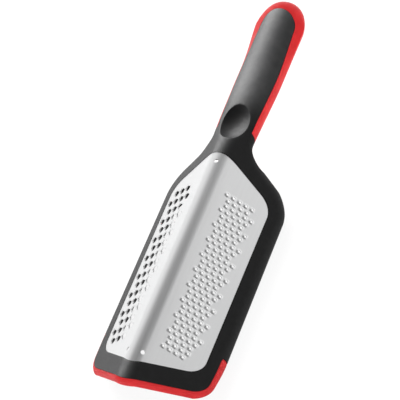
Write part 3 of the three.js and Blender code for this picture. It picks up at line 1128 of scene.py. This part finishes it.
    def _handle(self, skin: Skin) -> None:
        """Sweep the sides and underside of the neck and of the handle's top shell.

        Args:
            skin: Mesh to add to.
        """
        tool = self.plan.tool
        start = tool.distance(self.crossing_y)
        ends = [self._neck_end(turn) for turn in self.turns]
        rows = []
        for share in shares(self.neck_columns):
            spots = [lerp(start, end, share) for end in ends]
            rows.append([self.edge.point(tool.at(spot), turn) for spot, turn in zip(spots, self.turns)])
        top = rows[-1][0]
        face = []
        for share in shares(self.edge_rows):
            z = lerp(top.z, self.core_bottom_z, share)
            y = self.plan.grip_plane(z) - self.gap
            face.append(Vector((tool.at(tool.distance(y)).x, y, z)))
        rows.append(face)
        rows += [self._core_half(y) for y in self._handle_ys()]
        rows.append([Vector((0.0, point.y, point.z)) for point in rows[-1]])
        skin.sweep([self._girth(row) for row in rows])
        self._top(skin, [row[0] for row in rows])

    def _top(self, skin: Skin, side: Row) -> None:
        """Sweep the top of the handle, and round the thumb recess.

        Args:
            skin: Mesh to add to.
            side: Points of the right top edge, from the neck to the tip.
        """
        split = next(index for index, point in enumerate(side) if point.y > self.recess_end_y - self.same_y)

        def over(point: Vector) -> Row:
            """Row over the roof from a point to its mirror image."""
            half = [point, *self._crossing(point, True)]
            return half + mirrored(half)[-2::-1]

        skin.sweep([over(point) for point in side[split:]])
        before = side[:split + 1]
        loop = [*before, *over(before[-1])[1:], *mirrored(before)[-2::-1], *over(before[0])[-2:0:-1]]
        rims = [self._rim(point) for point in loop]
        rows = [loop]
        for share in self.apron_shares:
            spots = [point.lerp(rim[0], share) for point, rim in zip(loop, rims)]
            rows.append([self.roof.point(spot.x, spot.y) for spot in spots])
        rows += [[rim[index] for rim in rims] for index in range(len(rims[0]))]
        skin.sweep(rows, closed=True)

    def _bowl(self, angle: float, share: float) -> Vector:
        """Point of the recess's bowl at an angle and a share of its reach.

        Args:
            angle: Angle round the bowl.
            share: 0 in the middle and 1 at the full reach.

        Returns:
            The point.
        """
        wide, long, deep = self.recess_radii
        x, y = share * math.cos(angle), share * math.sin(angle)
        z = self.recess_z - deep * math.sqrt(1 - share * share)
        return Vector((wide * x, self.recess_y + long * y, z))

    def _rim(self, point: Vector) -> Row:
        """Points from just outside the recess's rim to the middle of its bowl.

        Args:
            point: Point of the surrounding loop that they face.

        Returns:
            The points, the first of them on the roof.
        """
        wide, long, _ = self.recess_radii
        angle = math.atan2((point.y - self.recess_y) / long, point.x / (wide * self.bowl_spread))

        def above(share: float) -> float:
            """Height of the bowl above the roof."""
            spot = self._bowl(angle, share)
            return spot.z - self.roof.height(spot.x, spot.y)

        reach = solve(above, *self.bowl_search)
        rim = self._bowl(angle, reach)
        out = Vector((rim.x, rim.y - self.recess_y, 0.0)).normalized() * self.recess_rim
        far = self.roof.point(rim.x + out.x, rim.y + out.y)
        near = self._bowl(angle, reach * (1 - self.recess_rim / self.rim_reach))
        inner = [self._bowl(angle, reach * share) for share in self.bowl_shares]
        return [far, rim - Vector((0.0, 0.0, self.recess_rim * self.rim_drop)), near, *inner]

    def build(self) -> bpy.types.Object:
        """Build the moulding.

        Returns:
            The frame.
        """
        skin = Skin()
        self._surround(skin)
        self._outer_edge(skin)
        self._handle(skin)
        return skin.finish("black_frame", self.crease)


@dataclass
class LowerShell(Dressed):
    """Red lower shell of the handle, a tray that the black top sits in."""

    FINISH = RED_MOULDING
    plan: Plan
    edge: OuterEdge
    gap: float = 0.15
    floor_z: float = 34.3
    lip: float = 0.3
    columns: int = 90
    edge_rows: int = 18
    fan_y: float = 132.0
    start_ys: tuple[float, float] = (36.0, 60.0)
    crease: float = math.radians(40)

    def _section(self, station: Station, kind: int) -> Vector:
        """Point of the section at a station.

        Args:
            station: Place on the tool's plan outline.
            kind: Row of the section, from the underside round to the floor.

        Returns:
            The point.
        """
        start = math.asin(min(2 * self.gap / self.edge.shape(station).out, 1.0)) / (math.pi / 2)
        if kind <= self.edge_rows:
            return self.edge.point(station, lerp(2.0, start, kind / self.edge_rows))
        top = self.edge.point(station, start).z
        depth = (self.lip, top - self.floor_z)[kind - self.edge_rows - 1]
        return station.place(self.gap, top - depth)

    def _start(self, kind: int) -> float:
        """Distance along the outline at which a row of the section meets the leaning face."""
        return self.plan.grip_meets(lambda station: self._section(station, kind), self.gap, self.start_ys)

    def build(self) -> bpy.types.Object:
        """Build the tray.

        Returns:
            The lower shell.
        """
        tool = self.plan.tool
        kinds = list(range(self.edge_rows + 3))
        starts = [self._start(kind) for kind in kinds]
        bottom = self.edge.grip_bottom_z
        rows = []
        for share in shares(self.columns):
            half = []
            for kind, start in zip(kinds, starts):
                spot = lerp(start, tool.length, share)
                station = tool.at(spot) if share < 1 else Station(0.0, self.plan.end_y, 0.0, 1.0)
                half.append(self._section(station, kind))
            low, high = half[0], half[-1]
            under = Vector((0.0, min(low.y, self.fan_y), bottom))
            floor = Vector((0.0, min(high.y, self.fan_y), self.floor_z))
            row = [under, under.lerp(low, 0.5), *half, high.lerp(floor, 0.5), floor]
            rows.append(row)
        skin = Skin()
        skin.sweep(rows)
        skin.sweep([mirrored(row) for row in rows])
        skin.merge()
        rim = [edge for edge in skin.mesh.edges if edge.is_boundary]
        bmesh.ops.triangle_fill(skin.mesh, use_beauty=True, use_dissolve=False, edges=rim)
        return skin.finish("red_lower_shell", self.crease)


@dataclass
class FootStrip(Dressed):
    """Red soft strip let into the outer edge of the foot."""

    FINISH = RED_SOFT
    plan: Plan
    edge: OuterEdge
    strip: StripSeat
    thickness: float = 2.0
    soft: float = 0.5
    soft_reach: float = 0.09
    soft_end: float = 0.015
    gap: float = 0.12
    columns: int = 60
    face_rows: int = 14
    face_start: float = 0.16
    edge_turns: tuple[float, ...] = (0.012, 0.02, 0.035, 0.06, 0.1)
    soft_power: int = 3
    crease: float = math.radians(50)

    def _turns(self) -> list[float]:
        """Places round the section, close together at its two edges."""
        face = [lerp(self.face_start, 2 - self.face_start, share) for share in shares(self.face_rows)]
        return [*self.edge_turns, *face, *(2 - turn for turn in self.edge_turns[::-1])]

    def _depth(self, turn: float) -> float:
        """Depth of the outer skin, which softens its two edges."""
        edge = min(turn, 2 - turn)
        return self.soft * (1 - min((edge - self.edge_turns[0]) / self.soft_reach, 1.0)) ** self.soft_power

    def build(self) -> bpy.types.Object:
        """Build the strip.

        Returns:
            The foot strip.
        """
        tool = self.plan.tool
        turns = self._turns()
        loops = []
        for share in shares(self.columns):
            outer, inner = [], []
            for turn in turns:
                station = tool.at((self.strip.distance(turn) - self.gap) * share)
                spot = self.strip.turn(station, turn)
                taper = self.soft * max(share - 1 + self.soft_end, 0.0) / self.soft_end
                outer.append(self.edge.point(station, spot, max(self._depth(turn), taper)))
                inner.append(self.edge.point(station, spot, self.thickness))
            loops.append(outer + inner[::-1])
        skin = Skin()
        closing = [one.lerp(other, 0.5) for one, other in zip(loops[-1], loops[-1][::-1])]
        right = [*loops, closing]
        left = [mirrored(loop) for loop in right]
        skin.sweep([*right[::-1], *left[1:]], closed=True)
        return skin.finish("red_foot_strip", self.crease)


@dataclass(frozen=True)
class ToothField:
    """Rows of one kind of tooth on one slope."""

    slope: Slope
    rows: int
    first_y: float
    pitch_y: float
    first_across: float
    pitch_across: float
    cells: float
    across_steps: int
    along_steps: int

    def low_across(self) -> float:
        """Edge of the field nearest to the ridge."""
        return self.first_across - self.pitch_across / 2

    def high_y(self) -> float:
        """Edge of the field nearest to the handle."""
        return self.first_y + self.pitch_y / 2


@dataclass
class GraterSheet(Dressed):
    """Bent steel sheet with coarse teeth on one slope and fine ones on the other."""

    FINISH = SATIN_STEEL
    roof: Roof
    plan: Plan
    thickness: float = 0.4
    depth: float = 0.22
    seat: float = 2.9
    locating_bore: float = 1.5
    locating_across: float = 7.5
    locating_foot_y: float = -129.5
    locating_top_y: float = 18.0
    coarse: ToothField = ToothField(
        Slope.COARSE, rows=17, first_y=0.6, pitch_y=7.28, first_across=21.0, pitch_across=8.0, cells=4.0,
        across_steps=4, along_steps=4)
    fine: ToothField = ToothField(
        Slope.FINE, rows=31, first_y=-0.6, pitch_y=3.92, first_across=18.8, pitch_across=5.15, cells=5.5,
        across_steps=4, along_steps=2)
    hood_power: float = 0.7
    burr: float = 0.06
    burr_count: int = 4
    burr_turn: float = 0.6
    outline_steps: int = 150
    bore_steps: int = 24
    bend_steps: int = 14
    cut_reach: float = 0.0005
    least_cell: float = 0.1
    crease: float = math.radians(32)

    def _bend_radius(self) -> float:
        """Radius of the sheet's upper face along the ridge."""
        return self.roof.sheet_radius - self.depth

    def _flat(self, x: float) -> float:
        """Distance along the flat sheet from the ridge, for a distance across.

        Args:
            x: Distance across.

        Returns:
            The distance, with the sign of x.
        """
        radius = self._bend_radius()
        bend = radius * math.sin(self.roof.slope)
        if abs(x) <= bend:
            return radius * math.asin(x / radius)
        return math.copysign(radius * self.roof.slope + (abs(x) - bend) / math.cos(self.roof.slope), x)

    def _slope_flat(self, distance: float) -> float:
        """Distance along the flat sheet, for a distance down the slope from the ridge line."""
        return self._flat(distance * math.cos(self.roof.slope))

    def _bent(self, flat: Vector) -> Vector:
        """Place of a point of the flat sheet once it is bent over the ridge.

        Args:
            flat: Point of the flat sheet.

        Returns:
            Where it goes.
        """
        radius = self._bend_radius()
        slope = self.roof.slope
        centre = self.roof.ridge_z - self.roof.sheet_radius / math.cos(slope)
        side = math.copysign(1.0, flat.x)
        angle = min(abs(flat.x) / radius, slope)
        beyond = max(abs(flat.x) - radius * slope, 0.0)
        reach = radius + flat.z
        x = reach * math.sin(angle) + beyond * math.cos(slope)
        z = centre + reach * math.cos(angle) - beyond * math.sin(slope)
        return Vector((side * x, flat.y, z))

    @staticmethod
    def _cell_border(width: float, height: float, across_steps: int, along_steps: int) -> Row:
        """Border of a cell, anticlockwise from the middle of its right side.

        Args:
            width: Size across.
            height: Size along.
            across_steps: Steps on each end.
            along_steps: Steps on each side.

        Returns:
            The border.
        """
        wide, high = width / 2, height / 2
        places = ((wide, 0), (wide, high), (-wide, high), (-wide, -high), (wide, -high), (wide, 0))
        counts = (along_steps // 2, across_steps, along_steps, across_steps, along_steps // 2)
        border = []
        for (x, y), (next_x, next_y), count in zip(places, places[1:], counts):
            steps = shares(count)[:-1]
            border += [Vector((lerp(x, next_x, share), lerp(y, next_y, share), 0)) for share in steps]
        return border

    def _sunk(self, border: Row) -> Row:
        """The border on the sheet's lower face."""
        return [point - Vector((0, 0, self.thickness)) for point in border]

    def _rings(self, border: Row, count: int, spot: Callable[[int, float], Vector]) -> list[Row]:
        """Rings of a tooth between the borders of its cell.

        Args:
            border: Border of the tooth's cell.
            count: Number of rings.
            spot: Point of a ring at an angle.

        Returns:
            Rings from the upper border over the tooth's edge to the lower border.
        """
        angles = [2 * math.pi * share for share in shares(len(border))[:-1]]
        rings = [[spot(ring, angle) for angle in angles] for ring in range(count)]
        return [border, *rings, self._sunk(border)]

    def _coarse_rings(self, border: Row) -> list[Row]:
        """Rings of a coarse tooth: a funnel with a raised hood on its handle side and a dip before it.

        Args:
            border: Border of the tooth's cell.

        Returns:
            The rings.
        """
        low = -self.thickness
        profile = (
            (3.75, 3.0, 3.1, 0.0, 0.0, 0.0),
            (3.45, 2.3, 2.8, -0.04, 0.38, -0.1),
            (2.95, 1.4, 2.2, -0.8, 0.58, -0.7),
            (2.85, 1.45, 2.1, low - 0.6, 0.4, low - 0.55),
            (3.0, 1.9, 2.25, low - 0.65, 0.1, low - 0.6),
            (3.5, 2.6, 2.8, low - 0.1, low, low - 0.05),
        )

        def spot(ring: int, angle: float) -> Vector:
            """Point of a ring.

            Args:
                ring: Row of the profile.
                angle: Angle round the tooth.

            Returns:
                The point.
            """
            wide, hood, dip, level, raised, sunk = profile[ring]
            u, v = math.cos(angle), math.sin(angle)
            long, top = (hood, raised) if v > 0 else (dip, sunk)
            return Vector((wide * u, long * v, lerp(level, top, abs(v) ** self.hood_power)))

        return self._rings(border, len(profile), spot)

    def _fine_rings(self, border: Row) -> list[Row]:
        """Rings of a fine tooth: a pierced crater with a ragged rim.

        Args:
            border: Border of the tooth's cell.

        Returns:
            The rings.
        """
        profile = ((1.92, 0.0, 0), (1.04, 0.5, 1), (0.8, 0.4, 1), (1.15, -self.thickness, 0))

        def spot(ring: int, angle: float) -> Vector:
            """Point of a ring.

            Args:
                ring: Row of the profile.
                angle: Angle round the tooth.

            Returns:
                The point.
            """
            radius, height, ragged = profile[ring]
            burr = self.burr * math.cos(self.burr_count * angle + self.burr_turn)
            return Vector((radius * math.cos(angle), radius * math.sin(angle), height + ragged * burr))

        return self._rings(border, len(profile), spot)

    def _field(self, skin: Skin, teeth: ToothField, rings: Callable[[Row], list[Row]],
               counts: Callable[[int], int], staggered: Callable[[int], bool]) -> None:
        """Fill a field's rectangle with teeth and plain cells.

        Args:
            skin: Mesh to add to.
            teeth: The field.
            rings: Maker of one tooth's rings from its border.
            counts: Number of teeth in a row.
            staggered: Whether a row is shifted by half a pitch.
        """
        pitch, height = teeth.pitch_across, teeth.pitch_y
        full = self._cell_border(pitch, height, teeth.across_steps, teeth.along_steps)
        half = self._cell_border(pitch / 2, height, teeth.across_steps // 2, teeth.along_steps)
        tooth = Stamp.pierced(rings(full))
        plain_full, plain_half = (Stamp.plain([border, self._sunk(border)]) for border in (full, half))
        low = teeth.low_across()
        high = low + teeth.cells * pitch

        def lay(stamp: Stamp, distance: float, y: float) -> None:
            """Lay a stamp at a distance down the slope."""
            stamp.lay(skin, Vector((teeth.slope.value * self._slope_flat(distance), y, 0.0)))

        for row in range(teeth.rows):
            y = teeth.first_y - row * height
            spot = low
            if staggered(row):
                lay(plain_half, low + pitch / 4, y)
                spot += pitch / 2
            index = 0
            while spot + pitch <= high + ROUNDING:
                lay(tooth if index < counts(row) else plain_full, spot + pitch / 2, y)
                spot += pitch
                index += 1
            if high - spot > self.least_cell:
                lay(plain_half, spot + pitch / 4, y)
        for stamp in (tooth, plain_full, plain_half):
            stamp.clear()

    def _field_border(self, teeth: ToothField) -> Row:
        """Border of a field on the flat sheet, with the cells' own corners.

        Args:
            teeth: The field.

        Returns:
            The border.
        """
        step = teeth.pitch_across / teeth.across_steps
        wide = round(teeth.cells * teeth.across_steps)
        high = teeth.rows * teeth.along_steps
        border = self._cell_border(wide * step, teeth.rows * teeth.pitch_y, wide, high)
        middle = teeth.low_across() + teeth.cells * teeth.pitch_across / 2
        centre_y = teeth.high_y() - teeth.rows * teeth.pitch_y / 2
        place = Vector((teeth.slope.value * self._slope_flat(middle), centre_y, 0.0))
        return [point + place for point in border]

    def _outline(self) -> Row:
        """Outline of the flat sheet, with the margin that the frame holds.

        Returns:
            The closed outline.
        """
        steel = self.plan.steel
        spots = [steel.at(steel.length * share).moved(self.seat) for share in shares(self.outline_steps)]
        half = [Vector((self._flat(spot.x), spot.y, 0.0)) for spot in spots]
        half[0].x = 0.0
        half[-1].x = 0.0
        return around(half)

    def _holes(self) -> list[Row]:
        """Locating holes of the flat sheet.

        Returns:
            One ring for each hole.
        """
        foot = self._slope_flat(self.locating_across)
        centres = [(-foot, self.locating_foot_y), (foot, self.locating_foot_y), (0.0, self.locating_top_y)]
        angles = [2 * math.pi * share for share in shares(self.bore_steps)[:-1]]
        ring = [Vector((math.cos(angle), math.sin(angle), 0.0)) * self.locating_bore for angle in angles]
        return [[Vector((x, y, 0.0)) + point for point in ring] for x, y in centres]

    def _blank(self, skin: Skin) -> None:
        """Make the plain part of the sheet, cut close along the ridge so that it bends.

        Args:
            skin: Mesh to add to.
        """
        outline, holes = self._outline(), self._holes()
        fields = [self._field_border(self.coarse), self._field_border(self.fine)]
        for shift in (0.0, -self.thickness):
            edges = []
            for loop in [outline, *holes, *fields]:
                row = [skin.mesh.verts.new(point + Vector((0, 0, shift))) for point in loop]
                edges += [skin.mesh.edges.new(pair) for pair in zip(row, row[1:] + row[:1])]
            bmesh.ops.triangle_fill(
                skin.mesh, use_beauty=True, use_dissolve=False, edges=edges, normal=(0, 0, 1))
        for loop in [outline, *holes]:
            skin.sweep([loop, self._sunk(loop)], closed=True)
        skin.merge()
        bend = self._bend_radius() * self.roof.slope
        for share in shares(self.bend_steps):
            everything = skin.mesh.verts[:] + skin.mesh.edges[:] + skin.mesh.faces[:]
            bmesh.ops.bisect_plane(
                skin.mesh, geom=everything, dist=self.cut_reach,
                plane_co=(lerp(-bend, bend, share), 0, 0), plane_no=(1, 0, 0))

    def build(self) -> bpy.types.Object:
        """Build the sheet flat and bend it.

        Returns:
            The sheet.
        """
        skin = Skin()
        self._blank(skin)
        fine = self.fine
        self._field(
            skin, self.coarse, self._coarse_rings,
            lambda row: 3 if row % 2 == 0 else 4, lambda row: row % 2 == 0)
        self._field(
            skin, fine, self._fine_rings,
            lambda row: 4 if row % 3 == 1 or row > fine.rows - 3 else 5, lambda row: row % 3 > 0)
        skin.merge()
        for vert in skin.mesh.verts:
            vert.co = self._bent(vert.co)
        return skin.finish("steel_sheet", self.crease)


@dataclass(frozen=True)
class Lamp:
    """Soft box aimed at the grater, which may be flagged off some of the pieces."""

    name: str
    place: tuple[float, float, float]
    width: float
    height: float
    power: float
    mirrored: bool = True
    only: tuple[str, ...] = ()

    def build(self) -> None:
        """Hang the lamp."""
        light = bpy.data.lights.new(self.name, "AREA")
        light.shape = "RECTANGLE"
        light.size = self.width
        light.size_y = self.height
        light.energy = self.power
        lamp = bpy.data.objects.new(self.name, light)
        lamp.location = self.place
        lamp.visible_glossy = self.mirrored
        lamp.rotation_euler = (-Vector(self.place)).to_track_quat("-Z", "Y").to_euler()
        bpy.context.scene.collection.objects.link(lamp)
        if self.only:
            lit = bpy.data.collections.new(f"{self.name}_lights")
            for name in self.only:
                lit.objects.link(bpy.data.objects[name])
            lamp.light_linking.receiver_collection = lit


@dataclass
class Studio:
    """Camera, lamps, floor and surrounding light."""

    camera_place: tuple[float, float, float] = (0.6974, -0.77818, 1.5318)
    camera_right: tuple[float, float, float] = (0.9026, 0.3581, -0.2398)
    camera_back: tuple[float, float, float] = (0.3857, -0.4229, 0.8200)
    lens: float = 245.1
    sensor: float = 36.0
    view_end: float = 20.0
    floor_reach: float = 4.0
    floor_share: float = 0.9
    floor_reflected: float = 0.87
    ambient: float = 0.78
    floor_grey: float = 0.8
    dark_side: tuple[float, float, float] = (0.22, -1.0, 1.0)
    mirrored_greys: tuple[tuple[float, float], ...] = ((0.17, 0.9), (0.5, 0.1), (0.84, 0.1), (1.0, 0.36))
    lamps: tuple[Lamp, ...] = (
        Lamp(
            "key_lamp", (-0.86, 0.76, 0.60), width=1.3, height=0.9, power=78.0,
            only=("black_frame", "floor")),
        Lamp("fill_lamp", (0.9, -0.9, 0.8), width=1.0, height=0.8, power=5.0, mirrored=False),
        Lamp("side_lamp", (-0.9, 0.2, 0.8), width=0.9, height=0.9, power=6.0, mirrored=False),
    )

    def camera(self) -> None:
        """Set the camera at the photograph's viewpoint."""
        back = Vector(self.camera_back).normalized()
        right = Vector(self.camera_right)
        right = (right - back * right.dot(back)).normalized()
        up = back.cross(right)
        data = bpy.data.cameras.new("camera")
        data.lens = self.lens
        data.sensor_width = self.sensor
        data.clip_end = self.view_end
        camera = bpy.data.objects.new("camera", data)
        turn = Matrix((right, up, back)).transposed().to_4x4()
        camera.matrix_world = Matrix.Translation(self.camera_place) @ turn
        bpy.context.scene.collection.objects.link(camera)
        bpy.context.scene.camera = camera

    @staticmethod
    def _mix(nodes: Nodes, rays: Sequence[str], share: float, plain_node: bpy.types.Node,
             seen_node: bpy.types.Node) -> bpy.types.Node:
        """Mix two shaders by the kind of ray that meets them.

        Args:
            nodes: Nodes to add to.
            rays: Light Path outputs of the rays that meet the second shader.
            share: Share of the second shader for those rays.
            plain_node: Shader for all other rays.
            seen_node: Shader for the named rays.

        Returns:
            The mixing node.
        """
        path = nodes.add("ShaderNodeLightPath")
        value = path.outputs[rays[0]]
        for name in rays[1:]:
            value = nodes.joined("MAXIMUM", value, path.outputs[name])
        part = nodes.joined("MULTIPLY", value, share)
        inputs = {"Fac": part, 1: plain_node.outputs[0], 2: seen_node.outputs[0]}
        return nodes.add("ShaderNodeMixShader", inputs)

    def floor(self) -> None:
        """Lay a white floor that keeps the grater's shadow."""
        mesh = bmesh.new()
        bmesh.ops.create_grid(mesh, x_segments=1, y_segments=1, size=self.floor_reach)
        data = bpy.data.meshes.new("floor")
        mesh.to_mesh(data)
        mesh.free()
        floor = bpy.data.objects.new("floor", data)
        bpy.context.scene.collection.objects.link(floor)
        material = bpy.data.materials.new("pale_floor")
        nodes = Nodes(material, bare=True)
        matt = nodes.add("ShaderNodeBsdfDiffuse", {"Color": (self.floor_grey,) * 3 + (1.0,)})
        white = nodes.add("ShaderNodeEmission")
        reflected = nodes.add("ShaderNodeEmission", {"Strength": self.floor_reflected})
        seen = self._mix(nodes, SEEN_RAYS, self.floor_share, matt, white)
        glossy = self._mix(nodes, MIRROR_RAYS, self.floor_share, seen, reflected)
        nodes.add("ShaderNodeOutputMaterial", {"Surface": glossy.outputs[0]})
        data.materials.append(material)

    def surround(self) -> None:
        """Light the studio evenly, with a dark ceiling and front in reflections."""
        world = bpy.data.worlds.new("studio")
        bpy.context.scene.world = world
        nodes = Nodes(world, bare=True)
        place = nodes.add("ShaderNodeTexCoord").outputs["Generated"]
        level = nodes.add("ShaderNodeVectorMath", {0: place, 1: self.dark_side})
        level.operation = "DOT_PRODUCT"
        stops = [(position, (grey, grey, grey)) for position, grey in self.mirrored_greys]
        colour = nodes.ramp(level.outputs["Value"], stops)
        reflected = nodes.add("ShaderNodeBackground", {"Color": colour})
        ambient = nodes.add("ShaderNodeBackground", {"Color": WHITE, "Strength": self.ambient})
        white = nodes.add("ShaderNodeBackground", {"Color": WHITE})
        glossy = self._mix(nodes, MIRROR_RAYS, 1.0, ambient, reflected)
        seen = self._mix(nodes, SEEN_RAYS, 1.0, glossy, white)
        nodes.add("ShaderNodeOutputWorld", {"Surface": seen.outputs[0]})

    def build(self) -> None:
        """Set up the studio."""
        bpy.context.scene.view_settings.view_transform = "Standard"
        self.camera()
        self.floor()
        self.surround()
        for lamp in self.lamps:
            lamp.build()


def fit(piece: bpy.types.Object, node: Node, slot: Slot) -> None:
    """Set a piece on the part in place of its solid.

    Args:
        piece: Finished piece.
        node: Solid that it stands for.
        slot: Material slot of the record that it stands in for, named in the log.
    """
    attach(piece, BODY)
    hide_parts(node.value)
    LOG.info("%s stands for %s in %s", piece.name, node.value, slot.value)


def main() -> None:
    """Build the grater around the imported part."""
    logging.basicConfig(level=logging.INFO, format="%(name)s: %(message)s")
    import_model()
    roof, plan = Roof(), Plan()
    edge, strip = OuterEdge(roof, plan), StripSeat(plan)
    assemblies = (
        (Frame(roof, plan, edge, strip), Node.FRAME, Slot.BLACK),
        (GraterSheet(roof, plan), Node.SHEET, Slot.STEEL),
        (LowerShell(plan, edge), Node.SHELL, Slot.RED),
        (FootStrip(plan, edge, strip), Node.STRIP, Slot.SOFT),
    )
    for assembly, node, slot in assemblies:
        piece = assembly.build()
        assembly.dress(piece)
        fit(piece, node, slot)
    Studio().build()


if __name__ == "__main__":
    main()
